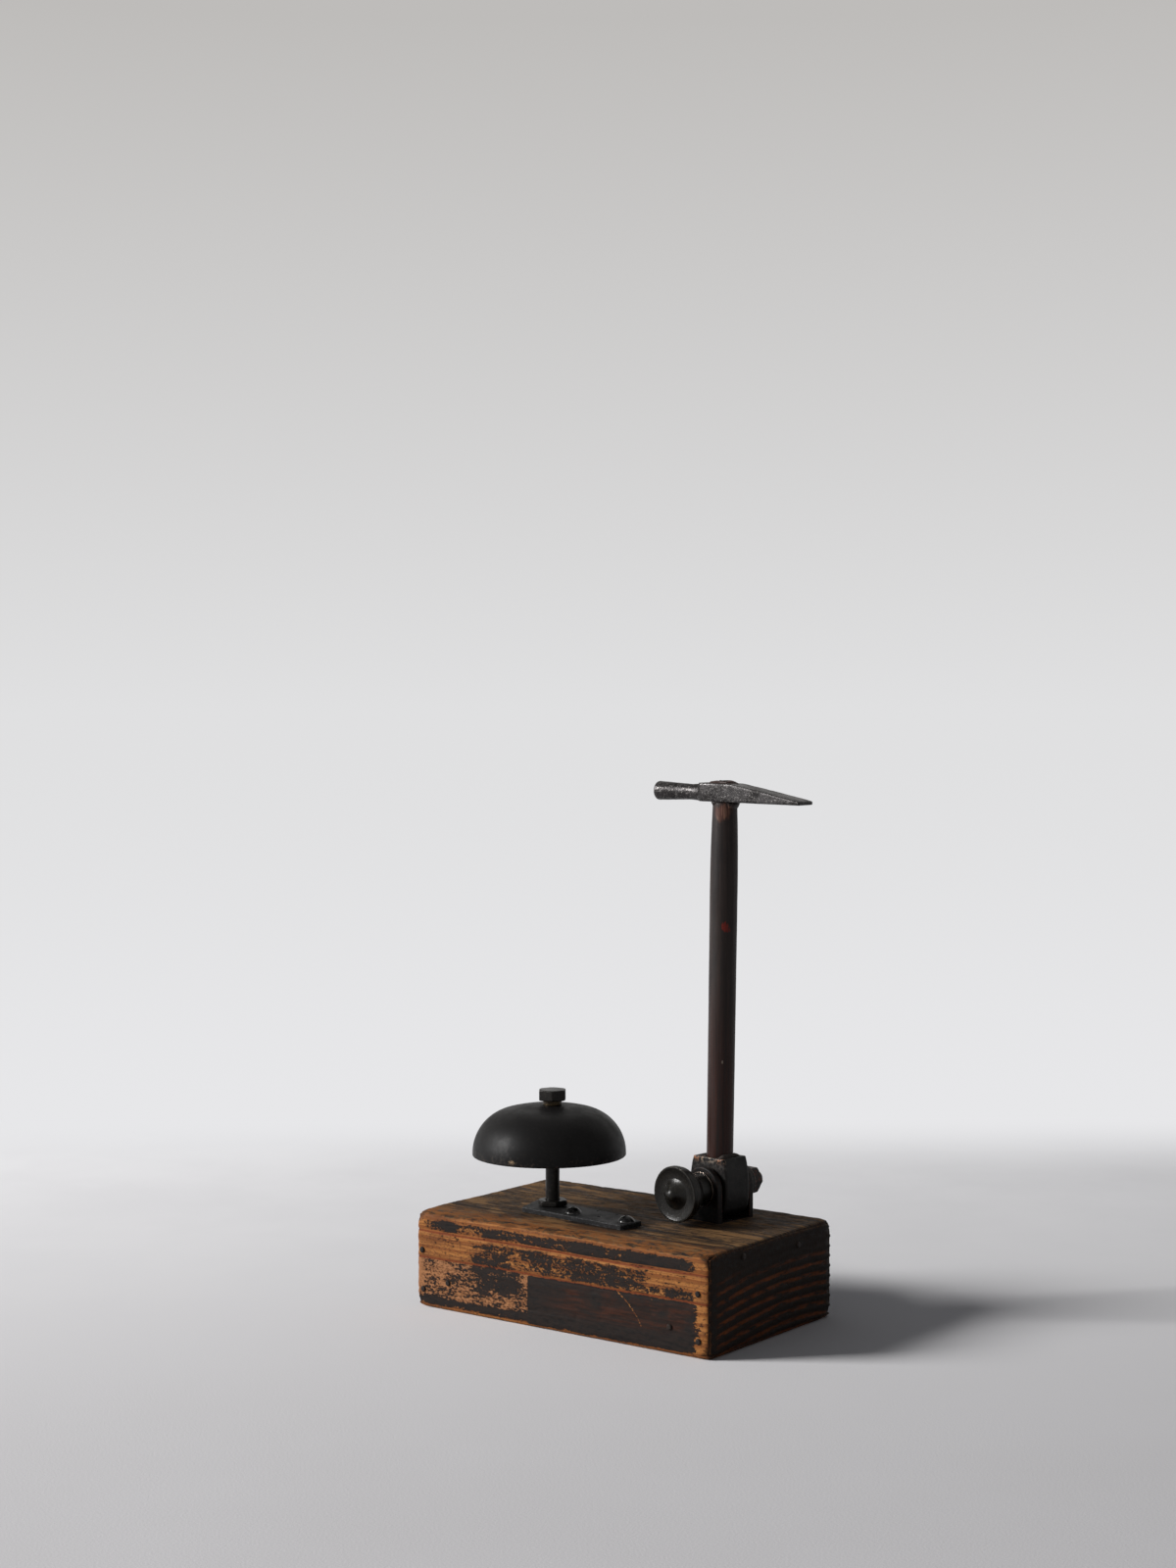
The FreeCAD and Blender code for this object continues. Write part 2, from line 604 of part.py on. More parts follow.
# Countersunk screws that hold the bracket's base in its mortise
def make_yoke_screw(name, reach):
    body = new_body(name)
    x, y = bracket_point(reach, ZERO)
    move(body, x, y, dim.block_height)
    tip = -dim.base_screw_depth
    head = -dim.base_screw_head_height
    corners = [
        (ZERO, tip), (dim.base_screw_radius, tip + dim.screw_point), (dim.base_screw_radius, head),
        (dim.base_screw_head_radius, ZERO), (ZERO, ZERO),
    ]
    revolve(body, outline(body, "XZ_Plane", corners))
    block_feature(body, -1, dim.base_screw_head_radius * 2, dim.screw_slot_width, dim.screw_slot_depth,
                  -dim.base_screw_head_radius, -dim.screw_slot_width / 2, -dim.screw_slot_depth)


# Square socket with bulging sides and a round underside that clears its bracket
def make_socket():
    body = new_body("socket_cup")
    on_axle(body)
    half, top, waist = dim.socket_top_half, dim.socket_top, dim.socket_waist_half
    bottom = dim.socket_bottom_arc
    low = -root(bottom * bottom - waist * waist)
    corners = [
        (waist, low, dim.socket_side_arc, 1), (half, top), (-half, top, dim.socket_side_arc, 1),
        (-waist, low, bottom, 1),
    ]
    pad(body, outline(body, "XZ_Plane", corners), dim.socket_length, symmetric=True)

    def face_edge(edge):
        return spans(edge, 1) < NEAR and spans(edge, 2) > dim.pocket_floor.value

    dress(body, "Fillet", face_edge, dim.socket_corner_round)
    block_feature(body, -1, dim.pocket_width, dim.pocket_breadth, top - dim.pocket_floor,
                  -dim.pocket_width / 2, -dim.pocket_breadth / 2, dim.pocket_floor)

    def pocket_corner(edge):
        upright = spans(edge, 0) < NEAR and spans(edge, 1) < NEAR
        return upright and abs(abs(edge.BoundBox.YMin) - dim.pocket_breadth.value / 2) < NEAR

    dress(body, "Fillet", pocket_corner, dim.pocket_round)
    dress(body, "Fillet", lambda edge: at_level(edge, top), dim.socket_lip_round)
    rod_feature(body, -1, axle_bore, dim.socket_length, ZERO, -socket_half, ZERO, TO_BACK)


# Rings on the axle, each with its outer radius, start and end towards the back
def make_axle_rings():
    washer = dim.socket_washer_height
    rings = {
        "socket_washer_front": (dim.socket_washer_radius, -(socket_half + washer), -socket_half),
        "socket_washer_back": (dim.socket_washer_radius, socket_half, socket_half + washer),
        "knob_washer": (dim.knob_washer_radius, -(ear_outer + dim.knob_washer_height), -ear_outer),
        "lock_washer": (dim.lock_washer_radius, lock_start, acorn_start),
    }
    for name, (outer, low, high) in rings.items():
        turned(name, on_axle, ring(axle_bore, outer, low, high), "XY_Plane")
    turned("knob_spacer", on_axle,
           ring(dim.axle_radius + dim.seat_gap, dim.spacer_radius, -knob_start, -spacer_start), "XY_Plane")
    outer, bevel = dim.back_washer_radius, dim.back_washer_bevel
    conical = [(axle_bore, ear_outer), (outer, ear_outer), (outer, lock_start - bevel),
               (outer - bevel, lock_start), (axle_bore, lock_start)]
    turned("back_washer", on_axle, conical, "XY_Plane")


# Axle bolt, fixed in the knob and run through ears, socket and acorn nut
def make_axle():
    body = new_body("pivot_bolt")
    on_axle(body)
    front = -(knob_start + dim.knob_bore_depth)
    back = acorn_bore_end - dim.side_gap
    rod_feature(body, 1, dim.axle_radius, back - front, ZERO, front, ZERO, TO_BACK)
    dress(body, "Chamfer", lambda edge: spans(edge, 1) < NEAR, dim.axle_end_bevel)


# Thumb knob: shallow dished face with a thin rim and a flared boss, grooved behind the rim
def make_knob():
    face, rim = -knob_face, dim.knob_rim_radius
    groove_front = face + dim.knob_rim_width
    groove_back = groove_front + dim.knob_groove_width
    ring_back = groove_back + dim.knob_ring_width
    bore, bore_end = dim.axle_radius + dim.seat_gap, -(knob_start + dim.knob_bore_depth)
    dish_edge = rim - dim.knob_rim_lip
    dish_floor = face + dim.knob_dish
    boss_top = dish_floor - dim.boss_height
    tip, tip_height = dim.boss_tip_radius, dim.boss_tip_height
    tip_arc = (tip * tip + tip_height * tip_height) / (tip_height * 2)
    corners = [
        (ZERO, boss_top, tip_arc, 1), (tip, boss_top + tip_height, dim.boss_flare_arc, -1),
        (dim.boss_radius, dish_floor, dim.knob_dish_arc, -1),
        (dish_edge, face), (rim - dim.knob_rim_lip / 3, face), (rim, face + dim.knob_rim_lip / 2),
        (rim, groove_front), (rim - dim.knob_groove, groove_front), (rim - dim.knob_groove, groove_back),
        (dim.knob_ring_radius, groove_back), (dim.knob_ring_radius, ring_back),
        (dim.knob_back_radius, -knob_start), (bore, -knob_start), (bore, bore_end), (ZERO, bore_end),
    ]
    turned("thumb_knob", on_axle, corners, "XY_Plane")


# Acorn nut behind the back ear
def make_acorn():
    body = new_body("acorn_nut")
    on_axle(body)
    hex_feature(body, dim.acorn_flats, dim.acorn_hex_height, y=acorn_start, rotation=TO_BACK)
    bevel_hex(body, "XY_Plane", dim.acorn_flats, acorn_start, -1)
    neck_end = acorn_dome_start + dim.acorn_neck
    rod_feature(body, 1, dim.acorn_dome_radius, dim.acorn_neck, ZERO, acorn_dome_start, ZERO, TO_BACK)
    dome = body.newObject("PartDesign::AdditiveSphere", "%s_dome" % body.Name)
    bind(dome, "Radius", dim.acorn_dome_radius)
    move(dome, ZERO, neck_end, ZERO)
    rod_feature(body, -1, axle_bore, acorn_bore_end - acorn_start, ZERO, acorn_start, ZERO, TO_BACK)


# Hammer handle: slight belly, drawn-in neck and a tenon through the head
def make_handle():
    length, belly, neck = dim.handle_length, dim.handle_belly_radius, dim.handle_neck_radius
    taper = length - dim.handle_belly_height
    drop = belly - neck
    neck_arc = (taper * taper + drop * drop) / (drop * 2)
    foot, foot_round = dim.handle_foot_radius, dim.handle_foot_round
    corners = [
        (ZERO, ZERO), (foot - foot_round, ZERO), (foot, foot_round),
        (belly, dim.handle_belly_height, neck_arc, 1), (neck, length), (ZERO, length),
    ]
    body = turned("hammer_handle", on_hammer, corners)
    tenon_height = dim.head_height + dim.tenon_proud
    half = dim.tenon_width / 2
    straight = dim.tenon_length - dim.tenon_width
    block_feature(body, 1, straight, dim.tenon_width, tenon_height, -straight / 2, -half, length)
    for side in (-1, 1):
        rod_feature(body, 1, half, tenon_height, straight * side / 2, ZERO, length)
    top = length + tenon_height
    slot = outline(body, "XZ_Plane", wedge_corners(top, dim.seat_gap))
    feature = body.newObject("PartDesign::Pocket", "%s_slot" % body.Name)
    feature.Profile = slot
    feature.SideType = "Symmetric"
    bind(feature, "Length", dim.wedge_width + dim.seat_gap * 2)


def wedge_corners(top, gap):
    """Side view of the wedge whose driven end stands at top, widened by a gap."""
    tip = as_size(top) - dim.wedge_depth - gap
    return [(-(dim.wedge_tip / 2 + gap), tip), (dim.wedge_tip / 2 + gap, tip),
            (dim.wedge_thickness / 2 + gap, top), (-(dim.wedge_thickness / 2 + gap), top)]


# Steel wedge driven into the tenon
def make_wedge():
    body = new_body("head_wedge")
    on_hammer(body)
    top = dim.handle_length + dim.head_height + dim.tenon_proud
    pad(body, outline(body, "XZ_Plane", wedge_corners(top, ZERO)), dim.wedge_width, symmetric=True)
    block_feature(body, 1, dim.wedge_thickness, dim.wedge_width, dim.wedge_proud,
                  -dim.wedge_thickness / 2, -dim.wedge_width / 2, top)


# Forged head: round poll with a flared face, square body with an eye, and a cross pein
def make_head():
    body = new_body("hammer_head")
    on_hammer(body, dim.handle_length)
    back, front, height = dim.head_body_back, dim.head_body_front, dim.head_height
    side = [
        (-back, ZERO), (dim.pein_reach, ZERO), (dim.pein_reach, dim.pein_tip, dim.pein_crown, 1),
        (front, height), (-back, height),
    ]
    pad(body, outline(body, "XZ_Plane", side), dim.head_width, symmetric=True)

    def back_corner(edge):
        return spans(edge, 0) < NEAR and spans(edge, 1) < NEAR and edge.BoundBox.XMax < 0

    dress(body, "Chamfer", back_corner, dim.head_corner_cut)

    def long_edge(edge):
        return spans(edge, 1) < NEAR and spans(edge, 0) > dim.tenon_length.value

    dress(body, "Fillet", long_edge, dim.head_edge_round)
    add_poll(body)
    half = dim.tenon_width / 2 + dim.seat_gap
    straight = dim.tenon_length - dim.tenon_width
    block_feature(body, -1, straight, half * 2, height, -straight / 2, -half, ZERO)
    for way in (-1, 1):
        rod_feature(body, -1, half, height, straight * way / 2, ZERO, ZERO)


def add_poll(body):
    """Turned poll along the head's length, with its waist beside the body."""
    axis_z = dim.head_height / 2 - dim.poll_drop
    reach, neck = -dim.poll_reach, -dim.poll_neck_x
    face = axis_z + dim.poll_face_radius
    shoulder = face - dim.poll_edge / 2
    corners = [
        (reach, axis_z), (neck, axis_z), (neck, shoulder), (-dim.head_body_back, shoulder),
        (-dim.poll_waist_x, axis_z + dim.poll_waist_radius), (reach + dim.poll_edge, face),
        (reach, face - dim.poll_edge),
    ]
    revolve(body, outline(body, "XZ_Plane", corners), axis="Edge1")


make_block()
make_nails()
make_plate()
for screw_name, (screw_along, screw_across) in SCREWS.items():
    make_plate_screw(screw_name, screw_along, screw_across)
make_gong()
make_gong_bolt()
make_post_rings()
make_yoke()
for screw_name, screw_reach in BASE_SCREWS.items():
    make_yoke_screw(screw_name, screw_reach)
make_socket()
make_axle_rings()
make_axle()
make_knob()
make_acorn()
make_handle()
make_wedge()
make_head()
doc.recompute()

# Checks, then one file for each sub-part
for item in doc.Objects:
    if "Invalid" in item.State or "Error" in item.State:
        raise RuntimeError("%s failed: %s" % (item.Name, item.State))
sub_parts = [item for item in doc.Objects if item.TypeId == "PartDesign::Body"]
sub_parts.append(doc.getObject("edge_nails"))
for item in sub_parts:
    shape = item.Shape
    if shape.isNull() or not shape.isValid():
        raise RuntimeError("%s has no valid shape" % item.Label)
    shape.exportStep("parts/%s.step" % item.Label)
    print("%-20s %9.1f mm3, solids %d" % (item.Label, shape.Volume, len(shape.Solids)))
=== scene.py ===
"""Looks of the hand-struck bell on its timber block. Lengths are in metres, and X runs to the right."""
import json
import math

import bmesh
import bpy
from mathutils import Matrix, Vector, noise


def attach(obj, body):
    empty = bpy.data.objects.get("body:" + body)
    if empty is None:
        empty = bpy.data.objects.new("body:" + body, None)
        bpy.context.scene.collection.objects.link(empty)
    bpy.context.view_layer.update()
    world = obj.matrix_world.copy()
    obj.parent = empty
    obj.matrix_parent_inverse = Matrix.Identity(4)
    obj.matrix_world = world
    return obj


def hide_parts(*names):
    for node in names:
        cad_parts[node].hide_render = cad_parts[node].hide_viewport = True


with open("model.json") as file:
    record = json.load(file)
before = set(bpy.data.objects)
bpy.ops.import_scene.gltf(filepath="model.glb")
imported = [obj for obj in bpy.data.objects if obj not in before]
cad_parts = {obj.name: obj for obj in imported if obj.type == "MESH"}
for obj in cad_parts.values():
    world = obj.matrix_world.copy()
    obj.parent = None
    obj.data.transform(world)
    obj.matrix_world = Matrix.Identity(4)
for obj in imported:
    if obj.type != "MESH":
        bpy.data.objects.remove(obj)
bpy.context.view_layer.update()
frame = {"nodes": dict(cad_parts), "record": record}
NODES = frame["nodes"]

# Camera, as fitted to the block's corners in the photograph
CAMERA_PLACE = Vector((0.7060, -0.9516, 0.2913))
CAMERA_YAW = 0.652103
CAMERA_PITCH = 0.0293486
CAMERA_ROLL = -0.0015646
CAMERA_LENS = 56.25

# Wall and floor, in display values from 0 to 255, and where the floor turns into the wall
WALL_SHADE_VALUES = (224, 224, 225)
# Painted light and shade on the wall: lighter just above the floor line, darker higher up
WALL_LOW_PAINTED_LIGHT_VALUES = (231, 231, 233)
WALL_HIGH_PAINTED_SHADE_VALUES = (190, 188, 186)
WALL_HIGH_DIRECTION = 0.27
# Painted falloff of light on the floor: its colour runs from darker near the camera to lighter far off
FLOOR_NEAR_PAINTED_SHADE_VALUES = (212, 210, 211)
FLOOR_FAR_PAINTED_LIGHT_VALUES = (252, 251, 252)
FLOOR_CLOUD_VALUES = (222, 221, 223)
FLOOR_NEAR = -0.35
FLOOR_FAR = 0.50
WALL_START = 0.330
WALL_FULL = 0.560
CAMERA_BACK = 1.18
FLOOR_HALF_SIZE = 30.0

# Light
ROOM_LIGHT_VALUES = (214, 216, 222)
ROOM_LIGHT_STRENGTH = 0.15
WINDOW_PLACE = (-2.9, -2.6, 1.9)
WINDOW_TARGET = (0.0, 0.0, 0.08)
WINDOW_SIZE = 1.2
WINDOW_POWER = 262.0

# Timber block
BLOCK_LENGTH = 0.1756
BLOCK_WIDTH = 0.105
BLOCK_HEIGHT = 0.0475
EDGE_ROUND = 0.0027
GRID_STEP = 0.00095
EDGE_STEP = 0.0004
EDGE_BAND = 0.0028
PITH_Y = 0.012
PITH_Z = -0.330
RING_STEP = 0.0047

# Lines along the front face: height, depth, half width and strength
GROOVES = [
    (0.0378, 0.00040, 0.00075, 1.0),
    (0.0249, 0.00034, 0.00065, 1.0),
    (0.0437, 0.00022, 0.0006, 0.7),
    (0.0055, 0.00025, 0.0006, 0.6),
]

# Reddish lines along the two upper grooves: height and half width
BAND_LINES = [(0.0378, 0.0007), (0.0250, 0.0006)]

# Front face: bare patch at the left, whose right edge is where the dark field starts, and two scratches
PATCH_LEFT = -0.0860
PATCH_RIGHT = -0.0170
PATCH_LOW = 0.0030
PATCH_HIGH = 0.0245
LONG_SCRATCH = ((0.0190, -0.0060), 0.0346, 0.00045, (0.036, 0.051), (0.0100, 0.0250))
SHORT_SCRATCH = ((0.0810, 0.0370), 0.0288, 0.00040, (0.050, 0.060), (0.0230, 0.0320))

# Bracket and socket, as the CAD places them
BRACKET_PLACE = Vector((0.0422, 0.022, BLOCK_HEIGHT))
BRACKET_TURN = math.radians(-8.0)
MORTISE_HALF_WIDTH = 0.01065
MORTISE_HALF_LENGTH = 0.01285
MORTISE_DEPTH = 0.003
AXLE_HEIGHT = 0.0153
SOCKET_RIM = 0.030
POCKET_HALF_WIDTH = 0.0078
POCKET_HALF_BREADTH = 0.0071
HAMMER_LEAN = math.radians(1.0)
HANDLE_FOOT = Vector((0.0422, 0.022, 0.0676))
HEAD_FOOT = 0.1805
HEAD_TOP = 0.1896

# Packing in the socket's mouth
PACKING_ROWS = 7
PACKING_SIDES = 72
PACKING_HOLE = 0.0067
PACKING_CORNER = 0.0096
PACKING_RISE = 0.0027
PACKING_DEPTH = 0.004

# Spread and split wood of the handle
BURR_ROWS = 9
BURR_SIDES = 56
BURR_MIDDLE = -0.0012
BURR_HALF_LENGTH = 0.0098
BURR_HALF_WIDTH = 0.0046
BURR_RISE = 0.0012
SHOULDER_SIDES = 96
SHOULDER_NECK = 0.0060
SHOULDER_FLARE = 0.0010
SHOULDER_DROP = 0.0030


def shade(red, green, blue):
    """Linear colour of a shade given in display values from 0 to 255."""
    linear = []
    for value in (red, green, blue):
        part = value / 255.0
        linear.append(part / 12.92 if part <= 0.04045 else ((part + 0.055) / 1.055) ** 2.4)
    return tuple(linear) + (1.0,)


def smooth(value, low, high):
    """Smooth step from 0 at low to 1 at high."""
    part = min(1.0, max(0.0, (value - low) / (high - low)))
    return part * part * (3.0 - 2.0 * part)


def new_piece(name, mesh, body, replaced=()):
    """Object of a mesh that rides on a body, with the CAD parts it replaces hidden."""
    piece = bpy.data.objects.new(name, mesh)
    bpy.context.scene.collection.objects.link(piece)
    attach(piece, body)
    if replaced:
        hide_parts(*replaced)
    return piece


WALL_SHADE = shade(*WALL_SHADE_VALUES)

# Timber block as a fine grid, worn along its grain

def axis_stops(length):
    """Grid positions along one edge of the block, closer together near its ends."""
    half = length / 2.0
    stops = []
    edge_count = round(EDGE_BAND / EDGE_STEP)
    for index in range(edge_count):
        stops.append(-half + index * EDGE_STEP)
    inner = length - 2.0 * EDGE_BAND
    inner_count = round(inner / GRID_STEP)
    for index in range(inner_count + 1):
        stops.append(-half + EDGE_BAND + inner * index / inner_count)
    for index in range(edge_count):
        stops.append(half - EDGE_BAND + (index + 1) * EDGE_STEP)
    return stops


def grid_box(lengths):
    """Closed box of grid squares round the origin, as points and faces."""
    stops = [axis_stops(length) for length in lengths]
    points = []
    numbers = {}
    faces = []

    def number(key):
        if key not in numbers:
            numbers[key] = len(points)
            points.append(Vector((stops[0][key[0]], stops[1][key[1]], stops[2][key[2]])))
        return numbers[key]

    for axis in range(3):
        first, second = [(1, 2), (2, 0), (0, 1)][axis]
        for side in (0, len(stops[axis]) - 1):
            for i in range(len(stops[first]) - 1):
                for j in range(len(stops[second]) - 1):
                    corners = []
                    for di, dj in ((0, 0), (1, 0), (1, 1), (0, 1)):
                        key = [0, 0, 0]
                        key[axis] = side
                        key[first] = i + di
                        key[second] = j + dj
                        corners.append(number(tuple(key)))
                    if side == 0:
                        corners.reverse()
                    faces.append(corners)
    return points, faces


def growth(place):
    """Count of growth rings at a point, round a pith line that runs along X below the block."""
    wander = 0.0012 * noise.noise(Vector((place.x * 11.0, place.y * 9.0, place.z * 9.0)))
    ripple = 0.0004 * noise.noise(Vector((place.x * 45.0, place.y * 30.0, place.z * 30.0)))
    return (math.hypot(place.y - PITH_Y, place.z - PITH_Z) + wander + ripple) / RING_STEP


def soft_wood(rings):
    """How soft the wood is within a ring: 1 in the early wood, 0 in the late wood."""
    part = rings - math.floor(rings)
    return smooth(part, 0.0, 0.12) * (1.0 - smooth(part, 0.45, 0.85))


def fibre(place, along, across):
    """Noise drawn out along the grain."""
    return noise.noise(Vector((place.x * along, place.y * across, place.z * across)))


def groove(place, height, depth, width):
    """Depth of a line along the front face at a height, wavering a little."""
    line = height + 0.0005 * noise.noise(Vector((place.x * 35.0, 3.0, height * 900.0)))
    near = abs(place.z - line) / width
    return depth * max(0.0, 1.0 - near * near)


def wear_depth(place, out, rings):
    """Inward depth of the block's worn surface at a point with an outward direction."""
    soft = soft_wood(rings)
    coarse = noise.noise(place * 120.0)
    fine = noise.noise(place * 900.0)
    strand = fibre(place, 22.0, 620.0)
    pits = max(0.0, noise.noise(Vector((place.x * 210.0, place.y * 420.0, place.z * 420.0)) * 1.0) - 0.28)
    depth = 0.00006 + 0.00006 * (coarse + 1.0) + 0.00003 * fine
    end = smooth(abs(out.x), 0.5, 0.9)
    top = smooth(out.z, 0.5, 0.9)
    front = smooth(-out.y, 0.5, 0.9)
    depth += top * (0.00022 * soft + 0.00020 * max(0.0, strand - 0.05) + 0.0005 * pits)
    depth += front * (0.00008 * soft + 0.00008 * max(0.0, strand) + 0.0006 * pits)
    depth += end * (0.00042 * soft + 0.00012 * (fine + 1.0))
    if front > 0.0:
        for height, deep, width, strength in GROOVES:
            depth += front * strength * groove(place, height, deep, width)
    return depth


def edge_wear(place):
    """Extra inward depth and bareness near the block's edges and corners, broken up by noise."""
    gaps = (BLOCK_LENGTH / 2.0 - abs(place.x), BLOCK_WIDTH / 2.0 - abs(place.y),
            min(place.z, BLOCK_HEIGHT - place.z))
    _, near, far = sorted(gaps)
    broken = 0.5 + 0.5 * noise.noise(place * 160.0)
    small = 0.5 + 0.5 * noise.noise(place * 520.0)
    band = 1.0 - smooth(near, 0.0, 0.0045)
    corner = (1.0 - smooth(near, 0.0, 0.006)) * (1.0 - smooth(far, 0.0, 0.007))
    depth = band * (0.00055 * broken + 0.00028 * small) + corner * (0.0012 + 0.0012 * broken)
    bare = 1.0 - smooth(near, 0.0006, 0.0014 + 0.0032 * broken)
    return depth, bare


def timber_mesh():
    """Worn timber block, with a mortise cut for the bracket's base."""
    lengths = (BLOCK_LENGTH, BLOCK_WIDTH, BLOCK_HEIGHT)
    points, faces = grid_box(lengths)
    half = Vector(lengths) / 2.0
    inner = half - Vector((EDGE_ROUND, EDGE_ROUND, EDGE_ROUND))
    lift = Vector((0.0, 0.0, half.z))
    spin = Matrix.Rotation(-BRACKET_TURN, 3, "Z")
    placed = []
    rings_at = []
    bare_at = []
    hollow_at = []
    for point in points:
        core = Vector([min(inner[i], max(-inner[i], point[i])) for i in range(3)])
        out = (point - core).normalized()
        flat = core + out * EDGE_ROUND
        place = flat + lift
        rings = growth(place)
        depth = wear_depth(place, out, rings)
        more, bare = edge_wear(place)
        if place.x > 0.0 and out.x > 0.3:
            far_edge = smooth(place.y, 0.046, 0.0525)
            more += far_edge * 0.0013 * soft_wood(rings)
        local = spin @ (place - BRACKET_PLACE)
        gap = max(abs(local.x) - MORTISE_HALF_WIDTH, abs(local.y) - MORTISE_HALF_LENGTH)
        calm = 0.15 + 0.85 * smooth(gap, 0.0005, 0.005) if out.z > 0.5 else 1.0
        depth = (depth + more) * calm
        if out.z < -0.5:
            depth *= 0.4
        placed.append(place - out * depth)
        rings_at.append(rings)
        bare_at.append(bare)
        hollow_at.append(min(1.0, depth / 0.0008))
    mesh = bpy.data.meshes.new("timber_block")
    mesh.from_pydata(placed, [], faces)
    for label, values in (("rings", rings_at), ("bare", bare_at), ("hollow", hollow_at)):
        layer = mesh.attributes.new(label, "FLOAT", "POINT")
        layer.data.foreach_set("value", values)
    mesh.update()
    return mesh


def mortise_mesh():
    """Box that cuts the bracket's mortise out of the block."""
    mesh = bpy.data.meshes.new("mortise_cutter")
    shape = bmesh.new()
    bmesh.ops.create_cube(shape, size=2.0)
    scale = Matrix.Diagonal((MORTISE_HALF_WIDTH, MORTISE_HALF_LENGTH, MORTISE_DEPTH, 1.0))
    place = Matrix.Translation(BRACKET_PLACE) @ Matrix.Rotation(BRACKET_TURN, 4, "Z")
    bmesh.ops.transform(shape, matrix=place @ scale, verts=shape.verts)
    shape.to_mesh(mesh)
    shape.free()
    return mesh


def cut(piece, cutter_mesh):
    """Cuts one mesh out of a piece and applies the result."""
    cutter = bpy.data.objects.new("cutter", cutter_mesh)
    bpy.context.scene.collection.objects.link(cutter)
    step = piece.modifiers.new("cut", "BOOLEAN")
    step.operation = "DIFFERENCE"
    step.solver = "EXACT"
    step.object = cutter
    bpy.context.view_layer.update()
    shown = piece.evaluated_get(bpy.context.evaluated_depsgraph_get())
    result = bpy.data.meshes.new_from_object(shown)
    piece.modifiers.clear()
    piece.data = result
    bpy.data.objects.remove(cutter)


block = new_piece("timber_block", timber_mesh(), "root", ["base_block"])
cut(block, mortise_mesh())
block.data.shade_smooth()


def loop_mesh(name, rows, ring):
    """Mesh between rows of points that each run round once. A ring joins its last row to its first."""
    sides = len(rows[0])
    points = [point for row in rows for point in row]
    faces = []
    count = len(rows) if ring else len(rows) - 1
    for row in range(count):
        above = (row + 1) % len(rows)
        for index in range(sides):
            after = (index + 1) % sides
            faces.append([row * sides + index, row * sides + after, above * sides + after,
                          above * sides + index])
    if not ring:
        faces.append(list(range(sides - 1, -1, -1)))
        faces.append([(len(rows) - 1) * sides + index for index in range(sides)])
    mesh = bpy.data.meshes.new(name)
    mesh.from_pydata(points, [], faces)
    shape = bmesh.new()
    shape.from_mesh(mesh)
    bmesh.ops.recalc_face_normals(shape, faces=shape.faces)
    shape.to_mesh(mesh)
    shape.free()
    mesh.shade_smooth()
    return mesh


# Forged and cast pieces, with edges rounded and faces dented by use

def worn_copy(name, node, body, slot, voxel, rounds, dent, dents_per_metre):
    """Copy of a CAD piece that is rebuilt in small squares, smoothed at its edges and dented inwards."""
    piece = new_piece(name, NODES[node].data.copy(), body, [node])
    rebuild = piece.modifiers.new("rebuild", "REMESH")
    rebuild.mode = "VOXEL"
    rebuild.voxel_size = voxel
    settle = piece.modifiers.new("settle", "SMOOTH")
    settle.factor = 0.5
    settle.iterations = rounds
    bpy.context.view_layer.update()
    shown = piece.evaluated_get(bpy.context.evaluated_depsgraph_get())
    mesh = bpy.data.meshes.new_from_object(shown)
    piece.modifiers.clear()
    piece.data = mesh
    normals = [vertex.normal.copy() for vertex in mesh.vertices]
    for vertex, normal in zip(mesh.vertices, normals):
        coarse = noise.noise(vertex.co * dents_per_metre)
        fine = noise.noise(vertex.co * dents_per_metre * 3.7)
        depth = 0.00004 + dent * (0.35 + 0.35 * coarse + 0.15 * fine)
        vertex.co -= normal * max(0.0, depth)
    mesh.update()
    mesh.shade_smooth()
    return piece


# Name, node, body, slot, square size, smoothing rounds, dent depth and dents per metre
WORN_PIECES = [
    ("forged_head", "hammer_head", "hammer", "head_steel", 0.00036, 14, 0.00022, 260.0),
    ("cast_socket", "socket_cup", "socket", "socket_iron", 0.00036, 4, 0.00016, 300.0),
    ("worn_bolt", "gong_bolt", "root", "bolt_steel", 0.00034, 4, 0.00006, 400.0),
    ("worn_foot_nut", "foot_nut", "root", "bolt_steel", 0.00034, 4, 0.00006, 400.0),
    ("worn_handle", "hammer_handle", "hammer", "handle_wood", 0.0004, 4, 0.00012, 90.0),
    ("worn_wedge", "head_wedge", "hammer", "bolt_steel", 0.00022, 4, 0.00008, 500.0),
    ("worn_acorn_nut", "acorn_nut", "root", "nut_bronze", 0.00034, 4, 0.00008, 400.0),
]
pieces = [(block, "timber")]
for settings in WORN_PIECES:
    pieces.append((worn_copy(*settings), settings[3]))


# Dirt and grease packed round the handle in the socket's mouth

def socket_place(x, y, z):
    """Point given along the socket's own width, breadth and height above the axle."""
    local = Matrix.Rotation(BRACKET_TURN, 3, "Z") @ Vector((x, y, z))
    return BRACKET_PLACE + Vector((0.0, 0.0, AXLE_HEIGHT)) + local


def mouth_reach(across):
    """Distance from the middle of the socket's mouth to its wall in a direction."""
    wide = POCKET_HALF_WIDTH / max(abs(across.x), 1e-6)
    deep = POCKET_HALF_BREADTH / max(abs(across.y), 1e-6)
    return min(wide - 0.0001, deep - 0.0001, PACKING_CORNER)


